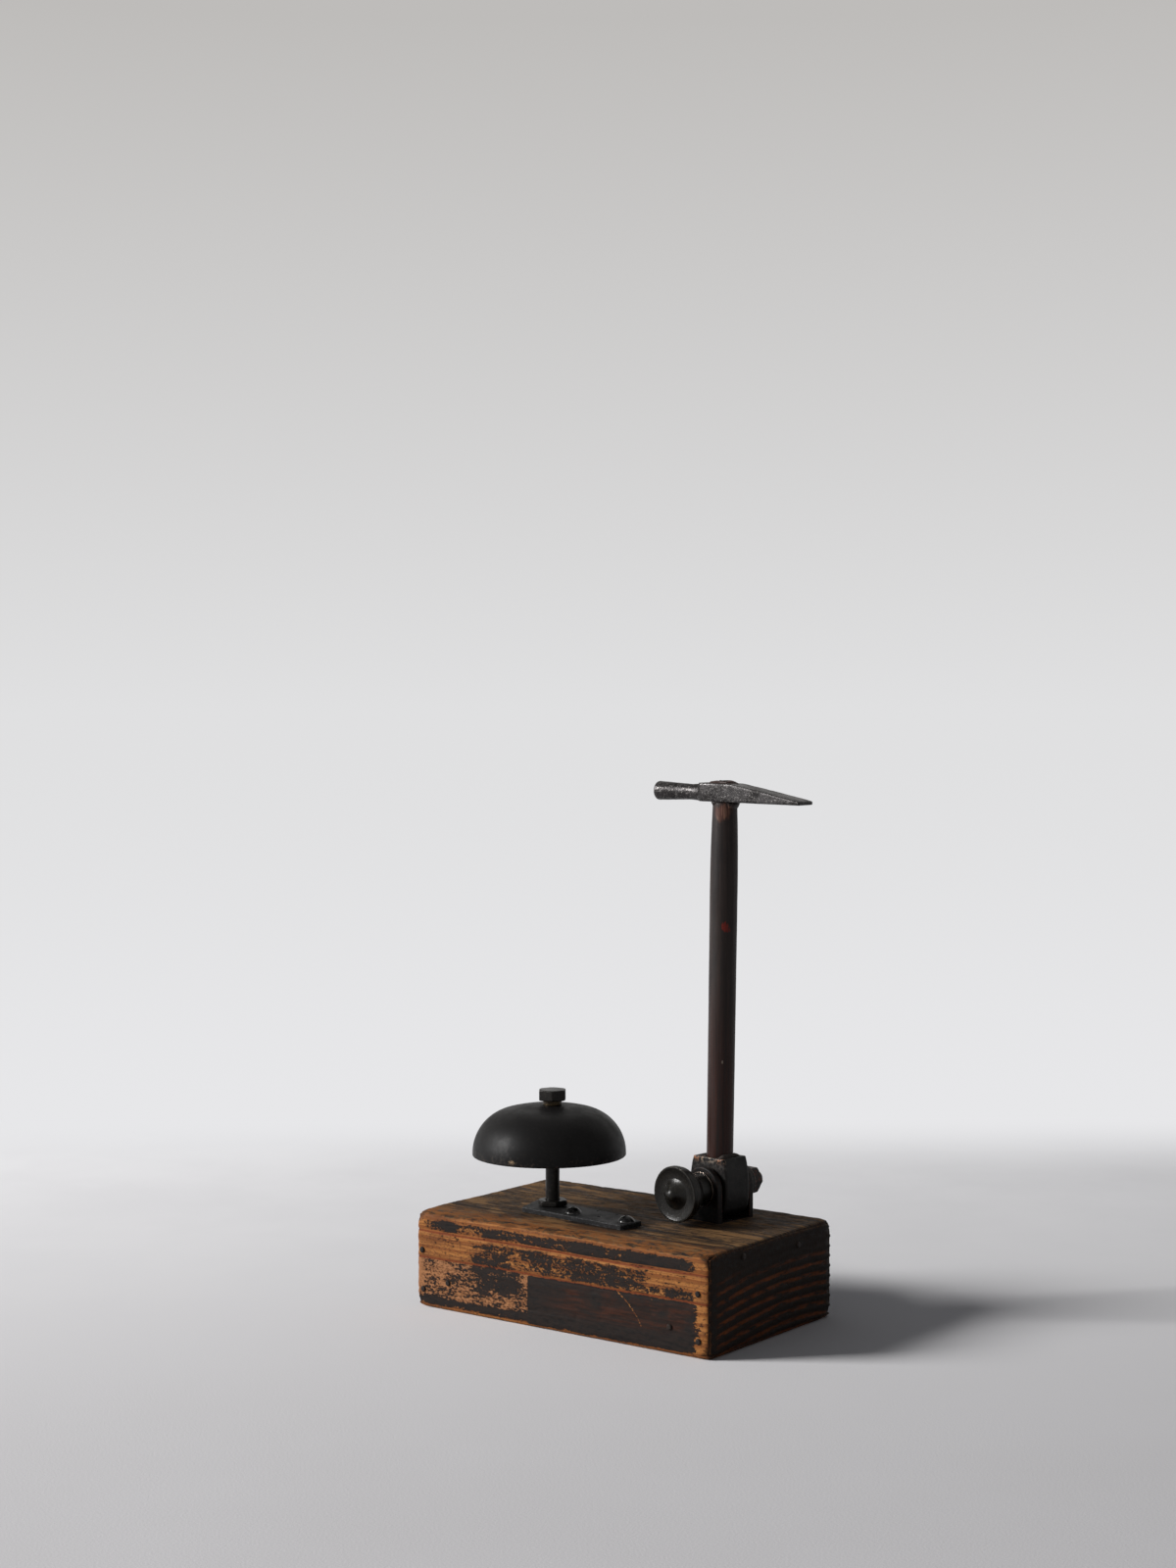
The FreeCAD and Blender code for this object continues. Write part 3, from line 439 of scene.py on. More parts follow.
def packing_mesh():
    """Lumpy ring that fills the mouth between the pocket's walls and the handle, highest at the back."""
    rim = SOCKET_RIM - AXLE_HEIGHT
    rows = []
    for step in range(PACKING_ROWS):
        part = step / (PACKING_ROWS - 1.0)
        row = []
        for index in range(PACKING_SIDES):
            angle = math.tau * index / PACKING_SIDES
            across = Vector((math.cos(angle), math.sin(angle)))
            reach = PACKING_HOLE + (mouth_reach(across) - PACKING_HOLE) * part
            lump = 0.5 + 0.5 * noise.noise(Vector((across.x * 2.6, across.y * 2.6, 7.0 + part * 1.5)))
            crumb = noise.noise(Vector((across.x * 11.0, across.y * 11.0, part * 5.0)))
            back = smooth(across.y, -0.2, 0.6) * smooth(-across.x, -0.9, 0.5)
            side = 0.7 * smooth(across.x, 0.5, 0.9)
            high = PACKING_RISE * max(back, side) * (0.75 + 0.25 * lump) * (1.0 - 0.7 * part ** 4)
            row.append(socket_place(reach * across.x, reach * across.y,
                                    rim - 0.0005 + high + 0.0003 * lump + 0.0002 * crumb))
        rows.append(row)
    for part in (1.0, 0.0):
        row = []
        for index in range(PACKING_SIDES):
            angle = math.tau * index / PACKING_SIDES
            across = Vector((math.cos(angle), math.sin(angle)))
            reach = PACKING_HOLE + (mouth_reach(across) - PACKING_HOLE) * part
            row.append(socket_place(reach * across.x, reach * across.y, rim - PACKING_DEPTH))
        rows.append(row)
    return loop_mesh("socket_packing", rows, True)


packing = new_piece("socket_packing", packing_mesh(), "socket")
pieces.append((packing, "socket_dirt"))


# Wood of the handle that spread over the head and split under it

def hammer_place(x, y, z):
    """Point given from the handle's foot, along the leaning hammer's own axes."""
    return HANDLE_FOOT + Matrix.Rotation(HAMMER_LEAN, 3, "Y") @ Vector((x, y, z))


def burr_mesh():
    """Low lumpy hump of the tenon's wood, spread over the top of the head."""
    rows = []
    for step in range(1, BURR_ROWS + 1):
        part = step / BURR_ROWS
        row = []
        for index in range(BURR_SIDES):
            angle = math.tau * index / BURR_SIDES
            ragged = 1.0 + 0.10 * noise.noise(Vector((math.cos(angle) * 2.5, math.sin(angle) * 2.5, 4.0)))
            x = BURR_HALF_LENGTH * ragged * part * math.cos(angle)
            y = BURR_HALF_WIDTH * ragged * part * math.sin(angle)
            lump = noise.noise(Vector((x * 420.0, y * 420.0, 2.0)))
            rise = (BURR_RISE * (0.80 + 0.75 * lump)) * (1.0 - part ** 4) - 0.0009 * part ** 4
            row.append(hammer_place(x + BURR_MIDDLE, y, HEAD_TOP + min(rise, 0.00135)))
        rows.append(row)
    return loop_mesh("tenon_burr", rows, False)


def shoulder_mesh():
    """Ragged collar of split wood where the handle's neck meets the underside of the head."""
    rows = []
    profile = [(0.0, 0.0), (0.25, 0.35), (0.6, 0.75), (1.0, 1.0), (1.0, -0.6), (0.0, -0.6)]
    for height, flare in profile:
        row = []
        for index in range(SHOULDER_SIDES):
            angle = math.tau * index / SHOULDER_SIDES
            across = Vector((math.cos(angle), math.sin(angle)))
            torn = smooth(noise.noise(Vector((across.x * 1.6, across.y * 1.6, 9.0))), -0.25, 0.45)
            chip = noise.noise(Vector((across.x * 14.0, across.y * 14.0, height * 3.0)))
            drop = SHOULDER_DROP * (0.12 + 0.9 * torn)
            reach = SHOULDER_NECK + SHOULDER_FLARE * max(0.0, flare) * (0.25 + torn) + 0.00014 * chip * flare
            if flare < 0.0:
                reach = SHOULDER_NECK - 0.0005
            row.append(hammer_place(reach * across.x, reach * across.y, HEAD_FOOT - drop * (1.0 - height)))
        rows.append(row)
    return loop_mesh("handle_shoulder", rows, True)


pieces.append((new_piece("tenon_burr", burr_mesh(), "hammer"), "handle_wood"))
pieces.append((new_piece("handle_shoulder", shoulder_mesh(), "hammer"), "handle_wood"))


# Materials

class Look:
    """One material's nodes, built by short calls. An input may be a number, a colour or a socket."""

    def __init__(self, slot):
        self.material = bpy.data.materials.new(slot)
        self.material.use_nodes = True
        self.tree = self.material.node_tree
        self.shader = self.tree.nodes["Principled BSDF"]
        self.place = self.node("ShaderNodeTexCoord").outputs["Object"]
        self.normal = None

    def node(self, kind, **settings):
        made = self.tree.nodes.new(kind)
        for key, value in settings.items():
            setattr(made, key, value)
        return made

    def feed(self, socket, value):
        if isinstance(value, bpy.types.NodeSocket):
            self.tree.links.new(value, socket)
        else:
            socket.default_value = value

    def calc(self, operation, *values, clamp=False):
        made = self.node("ShaderNodeMath", operation=operation, use_clamp=clamp)
        for socket, value in zip(made.inputs, values):
            self.feed(socket, value)
        return made.outputs[0]

    def scaled(self, scale, shift=(0.0, 0.0, 0.0)):
        made = self.node("ShaderNodeVectorMath", operation="MULTIPLY_ADD")
        self.feed(made.inputs[0], self.place)
        made.inputs[1].default_value = scale
        made.inputs[2].default_value = shift
        return made.outputs[0]

    def grain(self, scale, detail=4.0, rough=0.55, shift=(0.0, 0.0, 0.0), twist=0.0):
        if not isinstance(scale, tuple):
            scale = (scale, scale, scale)
        made = self.node("ShaderNodeTexNoise")
        self.feed(made.inputs["Vector"], self.scaled(scale, shift))
        made.inputs["Scale"].default_value = 1.0
        made.inputs["Detail"].default_value = detail
        made.inputs["Roughness"].default_value = rough
        made.inputs["Distortion"].default_value = twist
        return made.outputs["Fac"]

    def cells(self, scale, shift=(0.0, 0.0, 0.0)):
        if not isinstance(scale, tuple):
            scale = (scale, scale, scale)
        made = self.node("ShaderNodeTexVoronoi")
        self.feed(made.inputs["Vector"], self.scaled(scale, shift))
        made.inputs["Scale"].default_value = 1.0
        return made.outputs["Distance"]

    def axis(self, name):
        made = self.node("ShaderNodeSeparateXYZ")
        self.feed(made.inputs[0], self.place)
        return made.outputs[name]

    def facing(self, name):
        made = self.node("ShaderNodeSeparateXYZ")
        self.feed(made.inputs[0], self.node("ShaderNodeTexCoord").outputs["Normal"])
        return made.outputs[name]

    def layer(self, name):
        made = self.node("ShaderNodeAttribute", attribute_name=name)
        return made.outputs["Fac"]

    def fade(self, value, low, high):
        made = self.node("ShaderNodeMapRange", interpolation_type="SMOOTHSTEP")
        self.feed(made.inputs["Value"], value)
        self.feed(made.inputs["From Min"], low)
        self.feed(made.inputs["From Max"], high)
        return made.outputs["Result"]

    def window(self, value, low, high, soft):
        rise = self.fade(value, low - soft, low + soft)
        fall = self.fade(value, high + soft, high - soft)
        return self.calc("MULTIPLY", rise, fall)

    def blend(self, amount, first, second):
        made = self.node("ShaderNodeMix", data_type="RGBA")
        self.feed(made.inputs["Factor"], amount)
        self.feed(made.inputs[6], first)
        self.feed(made.inputs[7], second)
        return made.outputs[2]

    def part(self, value, share):
        return self.calc("MULTIPLY", value, share)

    def mean(self, *shares):
        total = 0.0
        for value, share in shares:
            total = self.calc("MULTIPLY_ADD", value, share, total)
        return total

    def line(self, across, along, height, width):
        """Mask of a line at a height that wavers slowly along its length."""
        waver = self.calc("SINE", self.calc("MULTIPLY_ADD", along, 61.0, height * 900.0))
        level = self.calc("MULTIPLY_ADD", waver, 0.0003, height)
        gap = self.calc("ABSOLUTE", self.calc("SUBTRACT", across, level))
        return self.fade(gap, width, width * 0.3)

    def arc(self, x, z, centre, radius, width, from_x, from_z):
        """Mask of a thin scratch along a circle in X and Z, between two places in X and in Z."""
        centre_x, centre_z = centre
        dx = self.calc("SUBTRACT", x, centre_x)
        dz = self.calc("SUBTRACT", z, centre_z)
        reach = self.calc("SQRT", self.calc("MULTIPLY_ADD", dx, dx, self.calc("MULTIPLY", dz, dz)))
        gap = self.calc("ABSOLUTE", self.calc("SUBTRACT", reach, radius))
        inside = self.calc("MULTIPLY", self.window(x, *from_x, 0.001), self.window(z, *from_z, 0.001))
        return self.calc("MULTIPLY", self.fade(gap, width, width * 0.4), inside)

    def spot(self, centre, radius, broken):
        """Mask of a small blot round a place, broken up by a noise."""
        gap = self.node("ShaderNodeVectorMath", operation="DISTANCE")
        self.feed(gap.inputs[0], self.place)
        gap.inputs[1].default_value = centre
        shift = self.calc("SUBTRACT", broken, 0.5)
        reach = self.calc("MULTIPLY_ADD", shift, radius * 3.0, gap.outputs["Value"])
        return self.fade(reach, radius, radius * 0.6)

    def edges(self, radius, low, high):
        rounded = self.node("ShaderNodeBevel", samples=6)
        rounded.inputs["Radius"].default_value = radius
        facing = self.node("ShaderNodeNewGeometry").outputs["Normal"]
        made = self.node("ShaderNodeVectorMath", operation="DOT_PRODUCT")
        self.feed(made.inputs[0], rounded.outputs[0])
        self.feed(made.inputs[1], facing)
        return self.fade(made.outputs["Value"], high, low)

    def bump(self, height, distance, strength=1.0):
        made = self.node("ShaderNodeBump")
        made.inputs["Distance"].default_value = distance
        made.inputs["Strength"].default_value = strength
        self.feed(made.inputs["Height"], height)
        if self.normal is not None:
            self.feed(made.inputs["Normal"], self.normal)
        self.normal = made.outputs["Normal"]

    def soften(self, radius):
        made = self.node("ShaderNodeBevel", samples=6)
        made.inputs["Radius"].default_value = radius
        self.normal = made.outputs["Normal"]

    def finish(self, colour, rough, metal=0.0, specular=0.5):
        self.feed(self.shader.inputs["Base Color"], colour)
        self.feed(self.shader.inputs["Roughness"], rough)
        self.feed(self.shader.inputs["Metallic"], metal)
        self.shader.inputs["Specular IOR Level"].default_value = specular
        if self.normal is not None:
            self.feed(self.shader.inputs["Normal"], self.normal)
        return self.material


def timber_look():
    """Weathered softwood: bare orange wood, patchy black paint, grey brown top and dark striped ends."""
    look = Look("timber")
    x, y, z = look.axis("X"), look.axis("Y"), look.axis("Z")
    rings = look.calc("FRACT", look.layer("rings"))
    late = look.calc("MULTIPLY", look.fade(rings, 0.45, 0.88), look.fade(rings, 1.0, 0.96))
    strands = look.grain((16.0, 700.0, 700.0), 3.0, 0.6)
    threads = look.grain((60.0, 2600.0, 2600.0), 2.0, 0.6, (4.0, 9.0, 2.0))
    blotch = look.grain(60.0, 5.0, 0.6, (3.0, 1.0, 8.0))
    speck = look.grain((620.0, 900.0, 1000.0), 5.0, 0.65, (1.0, 5.0, 3.0))
    fleck = look.grain((190.0, 420.0, 480.0), 5.0, 0.62, (7.0, 2.0, 6.0), 0.6)
    streak = look.grain((70.0, 500.0, 620.0), 4.0, 0.6, (2.0, 8.0, 5.0))
    break_up = look.mean((speck, 0.42), (fleck, 0.36), (streak, 0.22))
    front = look.fade(look.facing("Y"), -0.45, -0.75)
    top = look.fade(look.facing("Z"), 0.45, 0.8)
    end = look.fade(look.calc("ABSOLUTE", look.facing("X")), 0.55, 0.85)

    # Bare wood, darker in the late wood and along fibres
    bare = look.blend(late, shade(160, 106, 56), shade(122, 72, 36))
    bare = look.blend(look.fade(strands, 0.40, 0.66), bare, shade(116, 70, 36))
    bare = look.blend(look.part(look.fade(blotch, 0.42, 0.68), 0.6), bare, shade(92, 52, 29))
    bare = look.blend(look.part(look.fade(speck, 0.54, 0.62), 0.75), bare, shade(64, 40, 26))
    tan = look.blend(look.fade(speck, 0.35, 0.7), shade(154, 108, 74), shade(118, 78, 50))
    patch = look.calc("MULTIPLY", look.window(x, PATCH_LEFT, PATCH_RIGHT, 0.0003), front)
    patch = look.calc("MULTIPLY", patch, look.window(z, PATCH_LOW, PATCH_HIGH, 0.0008))
    bare = look.blend(look.part(patch, 0.8), bare, tan)

    # Share of the front that keeps its paint, from top to bottom
    ragged = look.calc("MULTIPLY_ADD", look.calc("SUBTRACT", fleck, 0.5), 0.022, x)
    left_of_field = look.fade(x, PATCH_RIGHT + 0.0002, PATCH_RIGHT - 0.0004)
    in_field = look.fade(x, PATCH_RIGHT - 0.0004, PATCH_RIGHT + 0.0002)
    parts = [
        (0.40, look.window(z, 0.0392, 0.0434, 0.0012), look.window(x, -0.0840, -0.0600, 0.0050)),
        (0.62, look.window(z, 0.0384, 0.0442, 0.0012), look.fade(x, -0.085, -0.050)),
        (0.22, look.window(z, 0.0380, 0.0450, 0.0012), look.window(x, 0.0100, 0.0760, 0.0060)),
        (0.34, look.window(z, 0.0256, 0.0368, 0.0008), look.fade(x, -0.080, -0.060)),
        (0.26, look.window(z, 0.0256, 0.0362, 0.0014), look.fade(x, -0.056, -0.030)),
        (-0.34, look.window(z, 0.0300, 0.0368, 0.0012), look.fade(x, 0.036, 0.060)),
        (0.42, look.window(z, 0.0040, 0.0250, 0.0006), left_of_field),
        (0.30, look.window(z, 0.0140, 0.0250, 0.0040), look.window(x, -0.0500, -0.0200, 0.0060)),
        (0.72, look.window(z, 0.0012, 0.0056, 0.0012), left_of_field),
        (1.18, look.window(z, 0.0012, 0.0246, 0.0006), in_field),
        (-0.40, look.window(z, -0.0010, 0.0026, 0.0012), look.fade(x, 0.030, 0.066)),
        (-0.95, look.window(z, -0.0010, 0.0440, 0.0020), look.fade(ragged, 0.0780, 0.0815)),
        (-0.20, look.window(z, -0.0010, 0.0440, 0.0020), look.fade(x, -0.0800, -0.0840)),
    ]
    cover = 0.02
    for share, by_height, by_length in parts:
        cover = look.calc("MULTIPLY_ADD", look.calc("MULTIPLY", by_height, by_length), share, cover)
    side_cover = look.calc("MULTIPLY_ADD", look.fade(blotch, 0.35, 0.6), 0.45, 0.55)
    amount = look.calc("ADD", look.calc("MULTIPLY", cover, front),
                       look.calc("MULTIPLY", side_cover, look.calc("SUBTRACT", 1.0, front)))
    amount = look.calc("MULTIPLY_ADD", look.calc("SUBTRACT", blotch, 0.5), look.part(front, 1.3), amount)
    amount = look.calc("SUBTRACT", amount, look.part(look.layer("bare"), 0.75))
    limit = look.calc("MULTIPLY_ADD", amount, -0.28, 0.64)
    scratch = look.calc("MAXIMUM", look.arc(x, z, *LONG_SCRATCH), look.arc(x, z, *SHORT_SCRATCH))
    scratch = look.calc("MULTIPLY", scratch, look.fade(speck, 0.62, 0.45))
    limit = look.calc("MULTIPLY_ADD", scratch, 0.3, limit)
    over = look.calc("SUBTRACT", break_up, limit)
    paint = look.fade(over, -0.010, 0.014)
    stain = look.fade(over, -0.085, 0.010)

    # Paint and stain colours
    brown = look.blend(look.fade(streak, 0.38, 0.62), shade(34, 24, 20), shade(58, 32, 22))
    black = look.blend(look.fade(fleck, 0.35, 0.6), shade(21, 18, 17), shade(37, 30, 27))
    low_red = look.calc("MULTIPLY", look.fade(x, -0.014, 0.012), look.window(z, 0.0100, 0.0230, 0.0030))
    low_red = look.calc("MULTIPLY", low_red, look.fade(blotch, 0.36, 0.56))
    wood = look.blend(look.part(stain, 0.62), bare, shade(66, 38, 24))
    lines = look.calc("MAXIMUM", *[look.line(z, x, height, width) for height, width in BAND_LINES])
    wood = look.blend(look.calc("MULTIPLY", lines, look.part(front, 0.8)), wood, shade(104, 44, 24))
    colour = look.blend(paint, wood, look.blend(low_red, black, brown))
    thin = look.calc("MULTIPLY", look.line(z, x, 0.0385, 0.0004), look.part(front, 0.7))
    colour = look.blend(thin, colour, shade(142, 82, 44))

    # Top: dull brown with dark streaks and holes, orange near the front edge
    brown_top = look.blend(look.fade(strands, 0.38, 0.62), shade(122, 92, 60), shade(66, 50, 34))
    brown_top = look.blend(look.part(late, 0.7), brown_top, shade(58, 40, 26))
    brown_top = look.blend(look.fade(threads, 0.50, 0.66), brown_top, shade(34, 27, 23))
    brown_top = look.blend(look.fade(look.mean((streak, 0.6), (blotch, 0.4)), 0.50, 0.60), brown_top,
                           shade(44, 34, 28))
    brown_top = look.blend(look.part(look.fade(speck, 0.55, 0.62), 0.8), brown_top, shade(24, 20, 18))
    patches = look.grain((34.0, 110.0, 110.0), 5.0, 0.62, (9.0, 4.0, 7.0), 0.4)
    brown_top = look.blend(look.part(look.fade(patches, 0.53, 0.60), 0.75), brown_top, shade(128, 96, 62))
    brown_top = look.blend(look.part(look.fade(patches, 0.46, 0.38), 0.7), brown_top, shade(34, 27, 23))
    furrows = look.fade(look.grain((11.0, 330.0, 330.0), 3.0, 0.55, (6.0, 2.0, 1.0)), 0.57, 0.62)
    brown_top = look.blend(look.part(furrows, 0.85), brown_top, shade(25, 20, 17))
    holes = look.fade(look.cells((95.0, 210.0, 210.0), (2.0, 3.0, 5.0)), 0.17, 0.11)
    brown_top = look.blend(look.part(holes, 0.9), brown_top, shade(17, 14, 12))
    warm = look.calc("MULTIPLY", look.fade(y, -0.030, -0.050), look.fade(fleck, 0.40, 0.54))
    brown_top = look.blend(look.part(warm, 0.85), brown_top, shade(142, 88, 46))
    colour = look.blend(top, colour, brown_top)

    # Ends: nearly black, with orange brown stripes in the soft rings
    stripe = look.calc("MULTIPLY", look.fade(z, 0.038, 0.028), look.window(y, -0.045, 0.047, 0.003))
    stripe = look.calc("MULTIPLY", stripe, look.window(rings, 0.12, 0.46, 0.10))
    stripe = look.calc("MULTIPLY", stripe, look.fade(look.grain((300.0, 90.0, 500.0), 3.0), 0.36, 0.56))
    dark_end = look.blend(look.fade(fleck, 0.4, 0.6), shade(21, 17, 15), shade(33, 25, 20))
    dark_end = look.blend(look.part(stripe, 0.9), dark_end, shade(124, 66, 31))
    rub = look.calc("MULTIPLY", look.layer("bare"), look.fade(speck, 0.45, 0.55))
    dark_end = look.blend(look.part(rub, 0.6), dark_end, shade(96, 58, 32))
    colour = look.blend(end, colour, dark_end)

    # Darker where the surface is worn deepest, in its grooves, pits and worn corners
    colour = look.blend(look.part(look.fade(look.layer("hollow"), 0.55, 1.0), 0.6), colour, shade(26, 20, 17))
    rough = look.calc("MULTIPLY_ADD", look.fade(fleck, 0.3, 0.7), 0.25, 0.58)
    height = look.mean((paint, 0.5), (strands, 0.6), (speck, 0.4))
    look.bump(height, 0.00035)
    return look.finish(colour, rough, 0.0, 0.12)


def metal_look(slot, shades, rough, metal, wear=0.5, spots=0.12, mottle=260.0, specular=0.25,
               depth=0.00003, marks=None):
    """Aged metal from base, dark and worn shades: mottled, pitted and lighter on its edges."""
    look = Look(slot)
    base, dark, worn = [shade(*values) for values in shades]
    broad = look.grain(mottle * 0.35, 4.0, 0.6)
    fine = look.grain(mottle * 2.4, 5.0, 0.65, (5.0, 3.0, 1.0))
    pits = look.fade(look.cells(mottle * 3.0), 0.30, 0.05)
    colour = look.blend(look.fade(broad, 0.38, 0.62), base, dark)
    colour = look.blend(look.part(look.fade(fine, 0.50, 0.70), spots), colour, worn)
    # Lighter worn colour on the edges: edge wear, and on washer_steel and ear_iron partly painted highlight
    # as well
    rub = look.calc("MULTIPLY", look.edges(0.0005, 0.80, 0.985), look.fade(fine, 0.36, 0.58))
    colour = look.blend(look.part(rub, wear), colour, worn)
    colour = look.blend(look.part(pits, 0.35), colour, dark)
    if marks is not None:
        colour = marks(look, colour, broad, fine)
    gloss = look.calc("MULTIPLY_ADD", look.fade(broad, 0.3, 0.7), 0.16, rough - 0.08)
    gloss = look.calc("MULTIPLY_ADD", rub, -0.10, gloss, clamp=True)
    look.soften(0.00025)
    look.bump(look.calc("MULTIPLY_ADD", pits, -0.5, fine), depth)
    return look.finish(colour, gloss, metal, specular)


def gong_marks(look, colour, broad, fine):
    """Painted highlight low on the gong's front, a tan chip at its rim and dull scuffs."""
    # Painted highlight: a lighter blot low on the gong's front, where the lamp's reflection falls
    painted_highlight = look.spot((-0.0330, -0.0505, 0.0815), 0.0070, broad)
    colour = look.blend(look.calc("MULTIPLY", painted_highlight, look.fade(fine, 0.40, 0.70)), colour, shade(40, 38, 37))
    colour = look.blend(look.spot((-0.0283, -0.0504, 0.0764), 0.0017, fine), colour, shade(132, 112, 88))
    scuff = look.calc("MULTIPLY", look.fade(look.axis("Z"), 0.0800, 0.0755), look.fade(fine, 0.54, 0.66))
    return look.blend(look.part(scuff, 0.6), colour, shade(66, 56, 48))


def head_marks(look, colour, broad, fine):
    """Darker scale on the poll, broken by small bright specks."""
    poll = look.calc("MULTIPLY", look.fade(look.axis("X"), 0.0340, 0.0270), look.fade(fine, 0.62, 0.50))
    return look.blend(look.part(poll, 0.6), colour, shade(36, 34, 34))


def socket_marks(look, colour, broad, fine):
    """Copper and tan speckles along the front of the rim, with greyer ones just below."""
    x, y, z = look.axis("X"), look.axis("Y"), look.axis("Z")
    turn = -BRACKET_TURN
    back = look.calc("MULTIPLY_ADD", x, math.sin(turn), look.part(y, math.cos(turn)))
    middle = BRACKET_PLACE.x * math.sin(turn) + BRACKET_PLACE.y * math.cos(turn)
    front = look.fade(back, middle - 0.0060, middle - 0.0078)
    grey = look.calc("MULTIPLY", look.fade(z, 0.0690, 0.0740), look.fade(fine, 0.42, 0.62))
    colour = look.blend(look.calc("MULTIPLY", look.part(grey, 0.55), front), colour, shade(78, 73, 70))
    lip = look.calc("MULTIPLY", look.fade(z, 0.0742, 0.0768), look.fade(fine, 0.46, 0.58))
    copper = look.blend(look.fade(broad, 0.42, 0.56), shade(140, 96, 68), shade(132, 120, 106))
    return look.blend(look.calc("MULTIPLY", look.part(lip, 0.9), front), colour, copper)


# Blots on the handle: place, radius, strength and display values
HANDLE_SPOTS = [
    ((0.0487, 0.0172, 0.1885), 0.0022, 0.9, (112, 34, 24)),
    ((0.0500, 0.0180, 0.1870), 0.0014, 0.9, (104, 32, 24)),
    ((0.0472, 0.0169, 0.1235), 0.0007, 0.7, (130, 118, 108)),
]


def wood_look(slot):
    """Dark oiled hardwood of the hammer's handle, redder towards its foot."""
    look = Look(slot)
    z = look.axis("Z")
    streak = look.grain((700.0, 700.0, 16.0), 4.0, 0.6)
    broad = look.grain((90.0, 90.0, 30.0), 4.0, 0.6, (2.0, 6.0, 1.0))
    fine = look.grain((1500.0, 1500.0, 120.0), 3.0, 0.6)
    colour = look.blend(look.fade(streak, 0.35, 0.65), shade(29, 24, 23), shade(46, 37, 34))
    low = look.fade(z, 0.175, 0.105)
    colour = look.blend(look.calc("MULTIPLY", low, look.fade(streak, 0.25, 0.65)), colour, shade(50, 26, 20))
    colour = look.blend(look.part(look.fade(broad, 0.5, 0.75), 0.6), colour, shade(16, 14, 14))
    colour = look.blend(look.part(look.fade(fine, 0.60, 0.75), 0.35), colour, shade(66, 52, 46))
    for centre, radius, strength, values in HANDLE_SPOTS:
        blot = look.part(look.spot(centre, radius, fine), strength)
        colour = look.blend(blot, colour, shade(*values))
    spread = look.calc("MULTIPLY", look.fade(z, 0.2566, 0.2576), look.fade(fine, 0.38, 0.56))
    colour = look.blend(look.part(spread, 0.6), colour, shade(70, 45, 39))
    chipped = look.spot((0.0478, 0.0162, 0.2428), 0.0056, broad)
    chipped = look.calc("MULTIPLY", chipped, look.fade(streak, 0.3, 0.6))
    colour = look.blend(look.part(chipped, 0.8), colour, shade(84, 52, 42))
    splinter = look.calc("MULTIPLY", chipped, look.fade(fine, 0.50, 0.62))
    colour = look.blend(look.part(splinter, 0.8), colour, shade(126, 94, 78))
    rough = look.calc("MULTIPLY_ADD", look.fade(broad, 0.3, 0.7), 0.2, 0.34)
    look.bump(look.calc("MULTIPLY_ADD", fine, 0.4, streak), 0.0001)
    return look.finish(colour, rough, 0.0, 0.19)


def dirt_look(slot):
    """Dull dark packing in the socket's mouth."""
    look = Look(slot)
    lumps = look.grain(900.0, 5.0, 0.65)
    colour = look.blend(look.fade(lumps, 0.35, 0.65), shade(28, 24, 23), shade(56, 47, 42))
    look.bump(lumps, 0.0002)
    return look.finish(colour, 0.75, 0.0, 0.3)


# Base, dark and worn display values, roughness and metalness, then what differs from the usual metal
METALS = {
    "nail_steel": (((32, 25, 21), (19, 15, 14), (74, 50, 36)), 0.60, 0.2, {}),
    "strap_steel": (((29, 28, 28), (15, 15, 16), (112, 112, 114)), 0.56, 0.2,
                    {"wear": 0.9, "spots": 0.16, "specular": 0.18, "depth": 0.00009}),
    "screw_steel": (((28, 27, 27), (16, 16, 16), (150, 148, 146)), 0.27, 0.6, {"wear": 0.8}),
    "gong_metal": (((19, 18, 18), (14, 13, 13), (60, 56, 52)), 0.46, 0.0,
                   {"spots": 0.08, "specular": 0.11, "marks": gong_marks}),
    "bolt_steel": (((28, 26, 24), (17, 16, 15), (104, 96, 86)), 0.36, 0.3, {"wear": 0.6}),
    "collar_brass": (((60, 49, 31), (27, 23, 18), (150, 120, 76)), 0.40, 0.5, {"wear": 0.8}),
    # Ears: the reddish light edge colour is partly worn edges and partly painted highlight along the lit rims
    "ear_iron": (((19, 17, 16), (13, 12, 12), (128, 86, 70)), 0.46, 0.1, {"wear": 1.0, "specular": 0.15}),
    # Washers: the light edge colour is partly edge wear and partly painted highlight, standing for the bright
    # lit arc on the front washer's rim
    "washer_steel": (((24, 22, 21), (15, 14, 14), (170, 152, 138)), 0.32, 0.4, {"wear": 1.0, "spots": 0.08}),
    "nut_bronze": (((25, 20, 18), (16, 14, 13), (120, 50, 34)), 0.42, 0.3, {"wear": 0.8, "spots": 0.5}),
    "socket_iron": (((21, 19, 18), (14, 13, 13), (88, 82, 76)), 0.46, 0.1,
                    {"wear": 0.8, "specular": 0.18, "marks": socket_marks}),
    "head_steel": (((66, 64, 64), (33, 31, 31), (150, 146, 142)), 0.38, 0.7,
                   {"wear": 0.8, "spots": 0.45, "mottle": 420.0, "depth": 0.00009, "marks": head_marks}),
    "knob_bronze": (((26, 24, 21), (18, 17, 15), (108, 100, 88)), 0.29, 0.2,
                    {"wear": 0.8, "spots": 0.08, "depth": 0.00005}),
}
LOOKS = {
    "timber": timber_look(),
    "handle_wood": wood_look("handle_wood"),
    "socket_dirt": dirt_look("socket_dirt"),
}
for slot, (shades, rough, metal, special) in METALS.items():
    LOOKS[slot] = metal_look(slot, shades, rough, metal, **special)


def assign(piece, slot):
    piece.data.materials.clear()
    piece.data.materials.append(LOOKS[slot])


for part in frame["record"]["subparts"]:
    if part["node"] in NODES:
        assign(NODES[part["node"]], part["material_slot"])
for piece, slot in pieces:
    assign(piece, slot)


# Floor, light and camera

